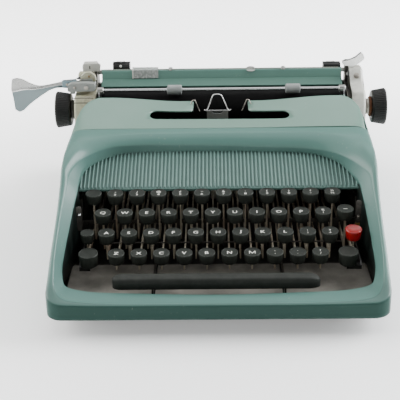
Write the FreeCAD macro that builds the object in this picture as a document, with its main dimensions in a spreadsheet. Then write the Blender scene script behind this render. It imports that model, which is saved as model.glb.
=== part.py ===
import FreeCAD, Part
import os, math
import Sketcher
from FreeCAD import Vector as V, Placement, Rotation

# Portable typewriter. Millimetres, +Z up, +Y towards the carriage, X = 0 on the
# centre plane of the keyboard, Z = 0 on the table.
doc = FreeCAD.newDocument("typewriter")
sheet = doc.addObject("Spreadsheet::Sheet", "Dims")
D = {}
ROWN = [0]


def dim(alias, value):
    """One driving dimension: a label, a plain number and its alias."""
    ROWN[0] += 1
    sheet.set("A%d" % ROWN[0], alias)
    sheet.set("B%d" % ROWN[0], repr(float(value)))
    sheet.setAlias("B%d" % ROWN[0], alias)
    D[alias] = float(value)


for a, v in [
    ("key_pitch", 19.05), ("key_dia", 14.2), ("key_taper", 0.8), ("key_height", 7.5), ("key_dish", 33.0),
    ("shift_dia", 16.5), ("shift_height", 10.0), ("lock_dia", 11.8), ("tilt_deg", 5.0), ("stem_in", 3.0),
    ("lever_thick", 1.2), ("lever_low", 31.0), ("lever_high", 37.0), ("pivot_y", 60.0), ("pivot_z", 32.0),
    ("pivot_rad", 2.5), ("pivot_bore", 2.56), ("eye_rad", 5.0),
    ("row1_y", -70.9), ("row2_y", -89.9), ("row3_y", -109.0), ("row4_y", -128.0),
    ("row1_z", 76.2), ("row2_z", 66.4), ("row3_z", 56.7), ("row4_z", 47.0),
    ("body_half", 138.5), ("wall", 2.5), ("well_half", 129.0), ("well_front", -166.0), ("well_rear", -19.0),
    ("well_corner", 24.0), ("arch_corner", 44.0), ("skirt_depth", 13.0), ("shoulder", 8.0),
    ("foot_rad", 11.0), ("foot_height", 10.0), ("foot_x", 112.0), ("foot_y", 148.0),
    ("pan_low", 10.0), ("pan_thick", 2.0), ("plate_low", 17.0), ("plate_thick", 1.5),
    ("rib_pitch", 3.41), ("rib_width", 1.8), ("rib_count", 73), ("panel_thick", 2.4),
    ("carriage_x", 4.0), ("platen_y", 83.0), ("platen_z", 99.0), ("platen_rad", 18.0), ("platen_half", 119.0),
    ("shaft_rad", 4.0), ("shaft_bore", 4.06), ("knob_rad", 18.4), ("knob_small", 16.4), ("knob_width", 17.2),
    ("plate_gap", 125.5), ("plate_steel", 3.5), ("rail_low", 66.0), ("rail_high", 71.0),
    ("spool_x", 92.0), ("spool_y", 22.0), ("spool_rad", 24.0), ("post_rad", 3.0), ("spool_bore", 3.06),
    ("fan_z", 112.0), ("fan_rad", 60.0), ("fan_step", 2.95), ("fan_count", 43), ("bar_thick", 1.4), ("slot_wide", 2.0),
    ("bar_front", -24.0), ("bail_rad", 1.6), ("roller_rad", 4.8), ("space_half", 86.2), ("pin_rad", 2.0), ("pin_bore", 2.06),
    ("cover_seam", 0.4), ("cover_back", 57.0), ("cover_top", 109.0), ("cover_rise", 115.5), ("cover_skirt", 99.9),
]:
    dim(a, v)
doc.recompute()
NODES = {}


def E(obj, **kw):
    """Bind properties to expressions; plain numbers are set as they are."""
    for k, v in kw.items():
        k = k.replace("__", ".")
        if isinstance(v, str):
            obj.setExpression(k, v)
        else:
            setattr(obj, k, v)
    return obj


def S(a):
    return "Dims." + a


def node(name, obj):
    obj.Label = name
    NODES[name] = obj
    return obj


N = [0]


def uid(p):
    N[0] += 1
    return "%s%d" % (p, N[0])


def box(x0, x1, y0, y1, z0, z1):
    """Box between two corners; each bound is a number or an expression."""
    b = doc.addObject("Part::Box", uid("Box"))
    t = [("(%s)" % q) for q in (x0, x1, y0, y1, z0, z1)]
    E(b, Length="%s - %s" % (t[1], t[0]), Width="%s - %s" % (t[3], t[2]), Height="%s - %s" % (t[5], t[4]))
    b.setExpression("Placement.Base.x", t[0])
    b.setExpression("Placement.Base.y", t[2])
    b.setExpression("Placement.Base.z", t[4])
    return b


def cyl(r, x, y, z, h, axis="z"):
    c = doc.addObject("Part::Cylinder", uid("Cyl"))
    rot = {"z": Rotation(), "x": Rotation(V(0, 1, 0), 90), "y": Rotation(V(1, 0, 0), -90)}[axis]
    c.Placement = Placement(V(0, 0, 0), rot)
    E(c, Radius=str(r), Height=str(h))
    for k, q in (("x", x), ("y", y), ("z", z)):
        c.setExpression("Placement.Base." + k, str(q))
    return c


PLANES = {"yz": Rotation(V(1, 1, 1), 120), "xz": Rotation(V(1, 0, 0), 90), "xy": Rotation()}


def loop(sk, pts):
    """Closed loop of straight runs and arcs. A point is (a, b), or (a, b, r) for a rounded corner."""
    n = len(pts)
    segs = []
    ends = []
    for i, p in enumerate(pts):
        a = V(pts[i - 1][0], pts[i - 1][1], 0)
        b = V(p[0], p[1], 0)
        c = V(pts[(i + 1) % n][0], pts[(i + 1) % n][1], 0)
        r = p[2] if len(p) > 2 else 0
        if r <= 0:
            ends.append((b, b, None))
            continue
        u = (a - b).normalize()
        w = (c - b).normalize()
        half = math.acos(max(-1, min(1, u.dot(w)))) / 2
        t = r / math.tan(half)
        p1 = b + u * t
        p2 = b + w * t
        m = (u + w).normalize()
        cen = b + m * (r / math.sin(half))
        mid = cen - m * r
        ends.append((p1, p2, mid))
    for i in range(n):
        p1, p2, mid = ends[i]
        if mid is not None:
            sk.addGeometry(Part.Arc(p1, mid, p2), False)
        q = ends[(i + 1) % n][0]
        if (q - p2).Length > 1e-6:
            sk.addGeometry(Part.LineSegment(p2, q), False)


def hole(sk, a, b, alias):
    g = sk.addGeometry(Part.Circle(V(a, b, 0), V(0, 0, 1), D[alias]), False)
    k = sk.addConstraint(Sketcher.Constraint("Radius", g, D[alias]))
    sk.setExpression("Constraints[%d]" % k, S(alias))
    return g


def ext(plane, pts, a, b, holes=()):
    """Prism: a closed outline in a plane, from a to b along the plane's normal.
    yz: outline (y, z), along X.  xz: outline (x, z), along Y.  xy: outline (x, y), along Z."""
    sk = doc.addObject("Sketcher::SketchObject", uid("Sk"))
    rot = PLANES[plane]
    sk.Placement = Placement(V(0, 0, 0), rot)
    loop(sk, pts)
    for h in holes:
        hole(sk, *h)
    ax = {"yz": "x", "xz": "y", "xy": "z"}[plane]
    start = b if plane == "xz" else a      # the front-view plane's normal is -Y
    sk.setExpression("Placement.Base." + ax, "(%s)" % start)
    e = doc.addObject("Part::Extrusion", uid("Ext"))
    e.Base = sk
    e.DirMode = "Normal"
    e.Solid = True
    e.Symmetric = False
    E(e, LengthFwd="(%s) - (%s)" % (b, a))
    return e


def cut(a, b):
    c = doc.addObject("Part::Cut", uid("Cut"))
    c.Base = a
    c.Tool = b
    return c


def fuse(*l):
    f = doc.addObject("Part::MultiFuse", uid("Fuse"))
    f.Shapes = list(l)
    f.Refine = True
    return f


def common(a, b):
    c = doc.addObject("Part::MultiCommon", uid("Com"))
    c.Shapes = [a, b]
    return c


def group(*l):
    g = doc.addObject("Part::Compound", uid("Grp"))
    g.Links = list(l)
    return g


def fillet(base, pick, r):
    """Round the edges that pick(edge) selects."""
    doc.recompute()
    f = doc.addObject("Part::Fillet", uid("Fil"))
    f.Base = base
    f.Edges = [(i + 1, r, r) for i, e in enumerate(base.Shape.Edges) if pick(e)]
    doc.recompute()
    if "Invalid" in f.State or f.Shape.isNull() or not f.Shape.isValid():
        doc.removeObject(f.Name)
        print("fillet left out on", base.Name)
        return base
    return f


def pd_body(name):
    b = doc.addObject("PartDesign::Body", uid("Body"))
    return b


def pd_sketch(body, role, off=None):
    sk = body.newObject("Sketcher::SketchObject", uid("PSk"))
    pl = [o for o in body.Origin.OriginFeatures if o.Role == role][0]
    sk.AttachmentSupport = [(pl, "")]
    sk.MapMode = "FlatFace"
    if off is not None:
        sk.AttachmentOffset = Placement(V(0, 0, off), Rotation())
    return sk


def pd_revolve(body, role, loops, ref, groove=False):
    sk = pd_sketch(body, role)
    for l in loops:
        loop(sk, l)
    r = body.newObject("PartDesign::Groove" if groove else "PartDesign::Revolution", uid("Rev"))
    r.Profile = sk
    r.ReferenceAxis = (sk, [ref])
    r.Angle = 360
    return r


# ---------------------------------------------------------------- keys
ROW = {1: ("row1_y", "row1_z"), 2: ("row2_y", "row2_z"), 3: ("row3_y", "row3_z"), 4: ("row4_y", "row4_z")}
P0 = D["key_pitch"]
X1 = [-90.8 + P0 * k for k in range(11)]
X2 = [-100.4 + P0 * k for k in range(11)]
X3 = [-96.0 + P0 * k for k in range(11)]
X4 = [-86.6 + P0 * k for k in range(10)]


def keycap(x, row, dia="key_dia", high="key_height", dz=0.0):
    """Round keytop: a short tapered drum with a dished top, leaning towards the typist."""
    y, z = D[ROW[row][0]], D[ROW[row][1]] + dz
    c = doc.addObject("Part::Cone", uid("Cap"))
    E(c, Radius1="%s / 2 - %s" % (S(dia), S("key_taper")), Radius2="%s / 2" % S(dia), Height=S(high))
    s = doc.addObject("Part::Sphere", uid("Dish"))
    E(s, Radius=S("key_dish"))
    rim = D[dia] / 2 - 1.1
    s.Placement = Placement(V(0, 0, D[high] + math.sqrt(D["key_dish"] ** 2 - rim ** 2)), Rotation())
    k = cut(c, s)
    doc.recompute()
    f = doc.addObject("Part::Fillet", uid("Edge"))
    f.Base = k
    top = [i + 1 for i, e in enumerate(k.Shape.Edges) if e.Closed and abs(e.CenterOfMass.z - D[high]) < 0.01
           and abs(e.BoundBox.XLength - D[dia]) < 0.05]
    f.Edges = [(i, 0.55, 0.55) for i in top]
    tilt = Rotation(V(1, 0, 0), D["tilt_deg"])
    f.Placement = Placement(V(x, y, z) - tilt.multVec(V(0, 0, D[high])), tilt)
    return f


def lever(x, row, high="key_height", dz=0.0, tab=False, w=5.0):
    """Flat key lever on edge: stem up to the keytop, run back, eye round the pivot rod."""
    y, z = D[ROW[row][0]], D[ROW[row][1]] + dz
    lo, hi, py, pz, er = D["lever_low"], D["lever_high"], D["pivot_y"], D["pivot_z"], D["eye_rad"]
    top = z - D[high] + D["stem_in"]
    pts = [(y - w / 2, lo), (y - w / 2, top), (y + w / 2, top), (y + w / 2, hi, 3.0), (py, hi), (py + er, hi, er - 0.01),
           (py + er, pz - er, er - 0.01), (py - 5, pz - er)]
    if tab:
        pts += [(py - 25, pz - er), (py - 25, 17.0), (py - 33, 17.0), (py - 33, lo)]
    else:
        pts += [(py - 18, lo)]
    a = "%f - %s / 2" % (x, S("lever_thick"))
    b = "%f + %s / 2" % (x, S("lever_thick"))
    return ext("yz", pts, a, b, holes=[(py, pz, "pivot_bore")])


def key(x, row, **kw):
    c = keycap(x, row, **kw)
    kw.pop("dia", None)
    l = lever(x, row, **kw)
    return [cut(c, l), l]


ROW2 = "qwertyuiop"
ROW3 = "asdfghjkl"
ROW4 = "zxcvbnm"
for i, ch in enumerate(ROW2):
    node("key_" + ch, group(*key(X2[i], 2)))
for i, ch in enumerate(ROW3):
    node("key_" + ch, group(*key(X3[i], 3)))
for i, ch in enumerate(ROW4):
    node("key_" + ch, group(*key(X4[i], 4)))
allk = []
for x in X1:
    allk += key(x, 1)
node("number_row_keys", group(*allk))
allk = key(X2[10], 2)
for x in X3[9:]:
    allk += key(x, 3)
for x in X4[7:]:
    allk += key(x, 4)
node("punctuation_keys", group(*allk))
node("backspace_key", group(*key(-109.9, 1)))
node("margin_release_key", group(*key(109.15, 2, dz=2.0)))
node("tab_key", group(*key(114.3, 3, dz=1.5)))
node("shift_lock_key", group(*key(-112.4, 3, dia="lock_dia")))


def shift_half(xc, xl):
    """Shift key: wide keytop on a lever that stands to one side of it."""
    c = keycap(xc, 4, dia="shift_dia", high="shift_height")
    z = D["row4_z"] - D["shift_height"] + D["stem_in"]
    l = lever(xl, 4, high="shift_height", tab=True)
    y = D["row4_y"]
    a, b = sorted((xl + (0.6 if xc > xl else -0.6), xc + (0.6 if xc > xl else -0.6)))
    foot = box(a, b, y - 2.5, y + 2.5, S("lever_low"), 34.5)
    stem = box(xc - 1.2, xc + 1.2, y - 2.5, y + 2.5, S("lever_low"), z)
    low = box(xl - 0.6, xl + 0.6, y - 2.5, y + 2.5, 34.5, 60)
    arm = fuse(foot, stem)
    return cut(c, arm), cut(l, low), arm


cl, ll, al = shift_half(-110.1, -117.5)
cr, lr, ar = shift_half(108.1, 119.0)
yoke = box(-116.9, 118.4, 28, 34, 18, 24)
node("shift_keys", group(cl, cr, ll, lr, al, ar, yoke))

# space bar: a rounded bar on two arms that run down through the slits of the plate
sb = box("-2.8 - %s" % S("space_half"), "-2.8 + %s" % S("space_half"), -157.2, -146.2, 28, 37)
sb = fillet(sb, lambda e: abs(e.BoundBox.ZLength - 9) < 0.01 and e.BoundBox.XLength < 0.01, 5.2)
sb = fillet(sb, lambda e: abs(e.BoundBox.ZMin - 37) < 0.01 and e.BoundBox.ZLength < 0.01, 2.2)
arms = []
for x in (-55.3, 54.2):
    pts = [(-155, 20), (-155, 30.5), (-149, 30.5), (-149, 26, 2), (0, 26), (8, 37), (60, 37), (65, 37, 4.99),
           (65, 27, 4.99), (55, 27), (42, 31), (12, 31), (4, 20)]
    arms.append(ext("yz", pts, x - 0.7, x + 0.7, holes=[(60, 32, "pivot_bore")]))
node("space_bar", group(cut(sb, group(*arms)), *arms))

# ---------------------------------------------------------------- casing
SIDE = [(-177, 10.5), (-183.5, 16, 5), (-184.5, 26, 4), (-179, 29.5, 4), (-141, 51), (-106, 70), (-67, 91.5),
        (-43, 103, 30), (-26, 108.3, 20), (-0.6, 109), (-0.6, 99.2), (34, 99.2, 8), (54, 64, 8), (166, 64, 14), (176, 40, 10), (176, 10.5)]
INNER = [(-176, 0), (-180.6, 18), (-181, 25.5), (-178, 26.6), (-140, 48), (-105, 67), (-66, 88.5),
         (-42, 100.1), (-26, 105.2), (-3.2, 106), (-3.2, 96.2), (33, 96.2), (52.5, 61.5), (164, 61.5), (173.4, 39), (173.4, 0)]
outer = ext("yz", SIDE, "-" + S("body_half"), S("body_half"))
doc.recompute()


def corner(e):
    b = e.BoundBox
    return abs(abs(b.XMin) - D["body_half"]) < 0.01 and b.XLength < 0.01


plan = ext("xy", [(-138.5, -184.6, 15), (138.5, -184.6, 15), (138.5, 176.1, 28), (-138.5, 176.1, 28)], 5, 200)
shell = common(outer, plan)
hollow = ext("yz", INNER, "-%s + %s" % (S("body_half"), S("wall")), "%s - %s" % (S("body_half"), S("wall")))
plan2 = ext("xy", [(-136, -182, 13), (136, -182, 13), (136, 173.5, 26), (-136, 173.5, 26)], -5, 200)
shell = cut(shell, common(hollow, plan2))


def well(grow, z0, z1):
    h, f, r = D["well_half"] + grow, D["well_front"] - grow, D["well_rear"] + grow
    return ext("xy", [(-h, f, D["well_corner"] + grow), (h, f, D["well_corner"] + grow),
                      (h, r, D["arch_corner"] + grow), (-h, r, D["arch_corner"] + grow)], z0, z1)


LIP = [(-190, -20), (-190, 200), (-12.5, 200), (-12.5, 108.9), (-19.2, 99), (-19.2, -20)]
opening = common(well(0, -10, 190), ext("yz", LIP, -135, 135))
ring = cut(well(2.2, 0, 150), well(0, -10, 190))
BAND = [(-169, 15), (-169, 31), (-141, 49.5), (-106, 68.5), (-67, 90), (-43, 101.5), (-26, 106.5), (-16.8, 106.8), (-16.8, 94),
        (-26, 93.5), (-44, 88), (-67, 77), (-106, 55.5), (-141, 36), (-166, 15)]
skirt = common(ring, ext("yz", BAND, -133, 133))
slot_rear = ext("xy", [(-127.4, 3.4, 6), (127.4, 3.4, 6), (127.4, 97, 6), (-127.4, 97, 6)], 55, 104)
node("body_shell", cut(fuse(cut(shell, opening), skirt), slot_rear))

# base pan: a shallow tray with a turned-up edge
pan = ext("xy", [(-135.6, -175.6, 12), (135.6, -175.6, 12), (135.6, 173.0, 25.6), (-135.6, 173.0, 25.6)], S("pan_low"), "%s + 8" % S("pan_low"))
dip = ext("xy", [(-133.6, -173.6, 10), (133.6, -173.6, 10), (133.6, 171, 23.6), (-133.6, 171, 23.6)], "%s + %s" % (S("pan_low"), S("pan_thick")), 40)
posts = [cyl(4.0, x, y, 11.5, 5.5) for x in (-104, 104) for y in (-150, -108)]
node("base_pan", fuse(cut(pan, dip), *posts))

# four rubber feet, each a tapered drum
fb = pd_body("rubber_feet")
sk = pd_sketch(fb, "XY_Plane")
for sx in (-1, 1):
    for sy in (-1, 1):
        g = sk.addGeometry(Part.Circle(V(sx * D["foot_x"], sy * D["foot_y"], 0), V(0, 0, 1), D["foot_rad"]), False)
        k = sk.addConstraint(Sketcher.Constraint("Radius", g, D["foot_rad"]))
        sk.setExpression("Constraints[%d]" % k, S("foot_rad"))
pad = fb.newObject("PartDesign::Pad", "FootPad")
pad.Profile = sk
pad.setExpression("Length", S("foot_height"))
pad.TaperAngle = 6
fb.Tip = pad
node("rubber_feet", fb)

# flat plate below the front of the keyboard
kp = ext("xy", [(-128.7, -165.7, 23.7), (128.7, -165.7, 23.7), (128.7, -97, 3), (-128.7, -97, 3)], S("plate_low"), "%s + %s" % (S("plate_low"), S("plate_thick")))
slits = [box(x - 1.7, x + 1.7, -158.5, -95, 10, 30) for x in (-55.3, 54.2)]
node("keyboard_plate", cut(kp, group(*slits)))

# fluted panel above the keys, sloping like the casing's sides
PB = pd_body("ribbed_panel")
sk = pd_sketch(PB, "YZ_Plane", -126.5)
A0, A1 = (-62.0, 75.4), (-17.6, 92.8)
L = math.hypot(A1[0] - A0[0], A1[1] - A0[1])
ux, uz = (A1[0] - A0[0]) / L, (A1[1] - A0[1]) / L
tk = D["panel_thick"]
loop(sk, [A0, A1, (A1[0] + uz * tk, A1[1] - ux * tk), (A0[0] + uz * tk, A0[1] - ux * tk)])
pd = PB.newObject("PartDesign::Pad", "PanelPad")
pd.Profile = sk
pd.Length = 253.0
sk = pd_sketch(PB, "YZ_Plane", -0.5 * 72 * D["rib_pitch"] - 0.9)
r0, r1 = 1.2, L - 1.6
q = lambda t, h: (A0[0] + ux * t - uz * h, A0[1] + uz * t + ux * h)
loop(sk, [q(r0, -0.6), q(r1, -0.6), q(r1 - 0.5, 1.3), q(r0 + 0.5, 1.3)])
rb = PB.newObject("PartDesign::Pad", "RibPad")
rb.Profile = sk
rb.setExpression("Length", S("rib_width"))
lp = PB.newObject("PartDesign::LinearPattern", "Ribs")
lp.Originals = [rb]
lp.Direction = ([o for o in PB.Origin.OriginFeatures if o.Role == "X_Axis"][0], [""])
lp.Mode = "Spacing"
lp.setExpression("Offset", S("rib_pitch"))
lp.setExpression("Occurrences", S("rib_count"))
PB.Tip = lp
node("ribbed_panel", common(PB, well(-0.8, 0, 150)))

# ribbon cover: a lid over the ribbon and type basket, with a T-shaped throat at the back
c0, c1 = D["cover_seam"], D["cover_back"]
top0, top1 = D["cover_top"], D["cover_rise"]
lid = ext("yz", [(c0, D["cover_skirt"]), (c0, top0), (c1, top1), (c1, D["cover_skirt"])], "-" + S("body_half"), S("body_half"))
lid = fillet(lid, lambda e: corner(e) and e.BoundBox.ZMin > 105 and e.BoundBox.YLength > 40, 8.5)
whole = lid
room = ext("yz", [(c0 - 3, 90), (c0 - 3, top0 - 2.3), (c1 + 3, top1 - 1.7), (c1 + 3, 90)], -136.2, 136.2)
room = fillet(room, lambda e: abs(abs(e.BoundBox.XMin) - 136.2) < 0.01 and e.BoundBox.XLength < 0.01 and e.BoundBox.ZMin > 100 and e.BoundBox.YLength > 40, 6.5)
outline = ext("xy", [(-138.6, c0), (138.6, c0), (138.6, 31, 14), (121, 57.1, 5), (-121, 57.1, 5), (-138.6, 31, 14)], 80, 130)
lid = common(cut(lid, room), outline)
# side cheeks close the lid where its outline draws in towards the back
cheek = []
for s in (-1, 1):
    strip = ext("xy", [(s * 136.5, 35.5), (s * 138.2, 36.5), (s * 122.0, 56.9), (s * 119.5, 56.9)], S("cover_skirt"), 130.0)
    cheek.append(common(strip, whole))
throat = ext("xy", [(-66.5, 23, 6.8), (66.5, 23, 6.8), (66.5, 37, 6.8), (28, 37, 2), (31, 60), (-31, 60), (-28, 37, 2), (-66.5, 37, 6.8)], 90, 130)
hooks = []
for s in (-1, 1):
    e0, e1 = (112.0, 115.0) if s > 0 else (-115.0, -112.0)
    hooks.append(ext("yz", [(47.8, 109), (47.8, 101.8, 3.9), (56.2, 101.8, 3.9), (56.2, 110), (56, 114.2), (47.8, 113.2)], e0, e1, holes=[(52, 106, "pin_bore")]))
node("ribbon_cover", cut(fuse(lid, *(cheek + hooks)), throat))

# ---------------------------------------------------------------- inner frame
items = []
for s in (-1, 1):
    x0, x1 = (122.5, 125.0) if s > 0 else (-125.0, -122.5)
    items.append(ext("yz", [(-60, 12), (-60, 40), (-52, 62), (93, 62), (96, 60), (128, 56, 6), (128, 12)], x0, x1))
items.append(cyl(S("pivot_rad"), -122.5, S("pivot_y"), S("pivot_z"), 245, "x"))
items.append(box(-122.5, 122.5, 122, 126, 14, 56))
comb = box(-122.5, 122.5, -60, -57, 12, 41)
LX = X1 + X2 + X3 + X4 + [-109.9, 109.15, 114.3, -112.4, -117.5, 119.0]
cuts = [box(x - 1.0, x + 1.0, -61, -56, 15, 45) for x in LX] + [box(x - 1.1, x + 1.1, -61, -56, 13.5, 45) for x in (-55.3, 54.2)]
items.append(cut(comb, group(*cuts)))
for s in (-1, 1):
    x0, x1 = (68.0, 122.5) if s > 0 else (-122.5, -68.0)
    deck = box(x0, x1, -4, 46, 60, 62)
    items.append(deck)
    items.append(cyl(S("post_rad"), s * D["spool_x"], S("spool_y"), 62, 27))
    y0 = (115.5, 122.5) if s > 0 else (-122.5, -115.5)
    arm = ext("yz", [(44, 62), (44, 100), (48, 110), (56, 110, 3), (56, 100), (54, 62)], y0[0] + (0.0 if s > 0 else 4.0), y0[1] - (4.0 if s > 0 else 0.0))
    items.append(arm)
    items.append(cyl(S("pin_rad"), (111.0 if s > 0 else -116.0), 52, 106, 5.0, "x"))
node("machine_frame", fuse(*items))

# ---------------------------------------------------------------- type basket
TB = pd_body("type_segment")
fz, fr = D["fan_z"], D["fan_rad"]
sk = pd_sketch(TB, "XZ_Plane", -52.0)
aa = math.radians(65)
ro, ri = 66.0, 55.0
pa = lambda r, a: V(r * math.sin(a), fz - r * math.cos(a), 0)
sk.addGeometry(Part.Arc(pa(ro, -aa), pa(ro, 0), pa(ro, aa)), False)
sk.addGeometry(Part.LineSegment(pa(ro, aa), pa(ri, aa)), False)
sk.addGeometry(Part.Arc(pa(ri, aa), pa(ri, 0), pa(ri, -aa)), False)
sk.addGeometry(Part.LineSegment(pa(ri, -aa), pa(ro, -aa)), False)
pd = TB.newObject("PartDesign::Pad", "SegPad")
pd.Profile = sk
pd.Length = 8.0
TB.Tip = pd
# the slots turn about the fan's own axis, which lies above the machine's origin
seg = TB
slots = []
bars = []
n = int(D["fan_count"])
bar_pts = [(50.5, fz - fr - 2.2), (50.5, fz - fr + 2.2), (-12, fz - fr + 1.6), (-14, fz - fr + 3.6), (D["bar_front"], fz - fr + 3.6),
           (D["bar_front"], fz - fr - 4.4), (-14, fz - fr - 4.4), (-12, fz - fr - 1.6)]
for i in range(n):
    a = (i - (n - 1) / 2.0) * D["fan_step"]
    rot = Rotation(V(0, 1, 0), -a)
    b = box("-%s / 2" % S("slot_wide"), "%s / 2" % S("slot_wide"), 40, 56, fz - 63.2, fz - 50)
    doc.recompute()
    for o in (b,):
        base = FreeCAD.Vector(-D["slot_wide"] / 2, 40, fz - 63.2)
        c0_ = V(0, 0, fz)
        for k in ("x", "y", "z"):
            o.setExpression("Placement.Base." + k, None)
        o.Placement = Placement(rot.multVec(base - c0_) + c0_, rot)
    slots.append(b)
    e = ext("yz", bar_pts, "-%s / 2" % S("bar_thick"), "%s / 2" % S("bar_thick"))
    sk = e.Base
    sk.setExpression("Placement.Base.x", None)
    p0 = Placement(V(-D["bar_thick"] / 2, 0, 0), PLANES["yz"])
    turn = Placement(V(0, 0, fz), Rotation()).multiply(Placement(V(0, 0, 0), rot)).multiply(Placement(V(0, 0, -fz), Rotation()))
    sk.Placement = turn.multiply(p0)
    bars.append(e)
node("type_segment", cut(seg, group(*slots)))
node("typebars", group(*bars))

# type guide: a notched plate behind the printing point, carried on the segment
tg = box(-9, 9, 61.6, 63.0, 46.4, 90)
tg2 = ext("xz", [(-9, 90), (-9, 97, 1.5), (-4, 97), (-1.6, 92), (1.6, 92), (4, 97), (9, 97, 1.5), (9, 90)], 61.6, 63.0)
tg3 = box(-9, 9, 52, 61.6, 46.4, 48.4)
node("type_guide", fuse(tg, tg2, tg3))

# ribbon vibrator: a thin forked frame that lifts the ribbon in front of the platen
vib = ext("xz", [(-10.5, 84), (-10.5, 100.5), (-5.2, 116.2, 1.5), (4.2, 116.2, 1.5), (10.5, 100.5), (10.5, 84), (7.5, 84), (7.5, 99.5), (8.6, 100.8), (3.2, 114.6),
                  (-4.2, 114.6), (-8.6, 100.8), (-7.5, 99.5), (-7.5, 84)], 59.8, 61.2)
foot = box(-10.5, 10.5, 59.8, 61.2, 80, 84)
node("ribbon_vibrator", fuse(vib, foot))

# ribbon spools: flanged drums on upright posts
for nm, s in (("ribbon_spool_left", -1), ("ribbon_spool_right", 1)):
    b = pd_body(nm)
    r, bo = D["spool_rad"], D["spool_bore"]
    pd_revolve(b, "XZ_Plane", [[(bo, 63), (r, 63), (r, 64.2), (17, 64.2), (17, 78.8), (r, 78.8), (r, 80), (bo, 80)]], "V_Axis")
    b.Placement = Placement(V(s * D["spool_x"], D["spool_y"], 0), Rotation())
    b.setExpression("Placement.Base.y", S("spool_y"))
    node(nm, b)

# ---------------------------------------------------------------- carriage
CX = S("carriage_x")
rail = ext("yz", [(76, 66), (76, 71), (82, 71), (82, 69.5), (86, 69.5), (86, 71), (92, 71), (92, 66)], -125, 125)
feet_r = [box(s * 123.75 - 1.25, s * 123.75 + 1.25, 78, 90, 62, 66) for s in (-1, 1)]
node("carriage_rail", fuse(rail, *feet_r))

PLATE = [(69, 76), (69, 100, 3), (76, 112, 3), (92, 115, 3), (103, 122, 4), (108, 138.5, 2), (117, 138.5, 2), (117, 76)]
PLATE_R = [(69, 76), (69, 100, 3), (76, 112, 3), (92, 115, 3), (109.6, 117.5, 2), (110.6, 138.5, 1), (117, 138.5, 2), (117, 76)]
pl = []
for s in (-1, 1):
    a, b = ((4 + 125.5, 4 + 129.0) if s > 0 else (4 - 129.0, 4 - 125.5))
    pl.append(ext("yz", PLATE_R if s > 0 else PLATE, a, b, holes=[(D["platen_y"], D["platen_z"], "shaft_bore")]))
base = box(4 - 137, 4 + 137, 70, 117, 73, 76)
lip1 = box(4 - 136, 4 + 136, 72, 74.5, 67.5, 73)
lip2 = box(4 - 136, 4 + 136, 93.5, 96, 67.5, 73)
mrail = box(4 - 125.5, 4 + 125.5, 111, 114.5, 134, 137.5)
backp = box(4 - 125.5, 4 + 125.5, 112, 113.6, 76, 116)
node("carriage_frame", fuse(base, lip1, lip2, mrail, backp, *pl))


def inset(pts, dd):
    """Move each side of an outline inwards by dd (outline runs clockwise or not)."""
    area = sum(pts[i][0] * pts[(i + 1) % len(pts)][1] - pts[(i + 1) % len(pts)][0] * pts[i][1] for i in range(len(pts)))
    sg = 1.0 if area > 0 else -1.0
    L_ = []
    for i in range(len(pts)):
        ax, ay = pts[i][0], pts[i][1]
        bx, by = pts[(i + 1) % len(pts)][0], pts[(i + 1) % len(pts)][1]
        l = math.hypot(bx - ax, by - ay)
        nx, ny = -(by - ay) / l * sg, (bx - ax) / l * sg
        L_.append((ax + nx * dd, ay + ny * dd, bx - ax, by - ay))
    out = []
    for i in range(len(pts)):
        x1, y1, dx1, dy1 = L_[i - 1]
        x2, y2, dx2, dy2 = L_[i]
        den = dx1 * dy2 - dy1 * dx2
        t = ((x2 - x1) * dy2 - (y2 - y1) * dx2) / den
        out.append((x1 + t * dx1, y1 + t * dy1))
    return out


COV_L = [(64, 79), (64, 104, 4), (71, 116, 4), (104, 118, 5), (110, 128, 3), (121, 128, 3), (121, 79, 3)]
COV_R = [(64, 79), (64, 105, 4), (71, 118, 4), (92, 122, 6), (101, 133, 4), (121, 133, 4), (121, 79, 3)]


def end_cover(pts, x0, x1, inner_side):
    body = ext("yz", pts, x0, x1)
    body = fillet(body, lambda e: abs(e.BoundBox.XMin - (x0 if inner_side > 0 else x1)) < 0.01 and e.BoundBox.XLength < 0.01, 1.6)
    ins = inset([(p[0], p[1]) for p in pts], 2.0)
    a, b = (x0 + 2.0, x1 + 1) if inner_side > 0 else (x0 - 1, x1 - 2.0)
    room = ext("yz", ins, a, b)
    bore = cyl(S("shaft_bore"), x0 - 2, S("platen_y"), S("platen_z"), 40, "x")
    return cut(cut(body, room), bore)


left = end_cover(COV_L, 4 - 147.4, 4 - 129.2, 1)
right = end_cover(COV_R, 4 + 129.2, 4 + 145.0, -1)
node("carriage_end_covers", group(left, right))

pr = pd_body("platen_roller")
h = D["platen_half"]
sk = pd_sketch(pr, "XY_Plane")
loop(sk, [(-h, 0), (-h, 17.2), (-h + 0.8, 18.0), (h - 0.8, 18.0), (h, 17.2), (h, 0)])
rv = pr.newObject("PartDesign::Revolution", "PlatenRev")
rv.Profile = sk
rv.ReferenceAxis = (sk, ["H_Axis"])
rv.Angle = 360
pr.Tip = rv
pr.Placement = Placement(V(D["carriage_x"], D["platen_y"], D["platen_z"]), Rotation())
pr.setExpression("Placement.Base.x", S("carriage_x"))
pr.setExpression("Placement.Base.y", S("platen_y"))
pr.setExpression("Placement.Base.z", S("platen_z"))
node("platen_roller", pr)

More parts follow.
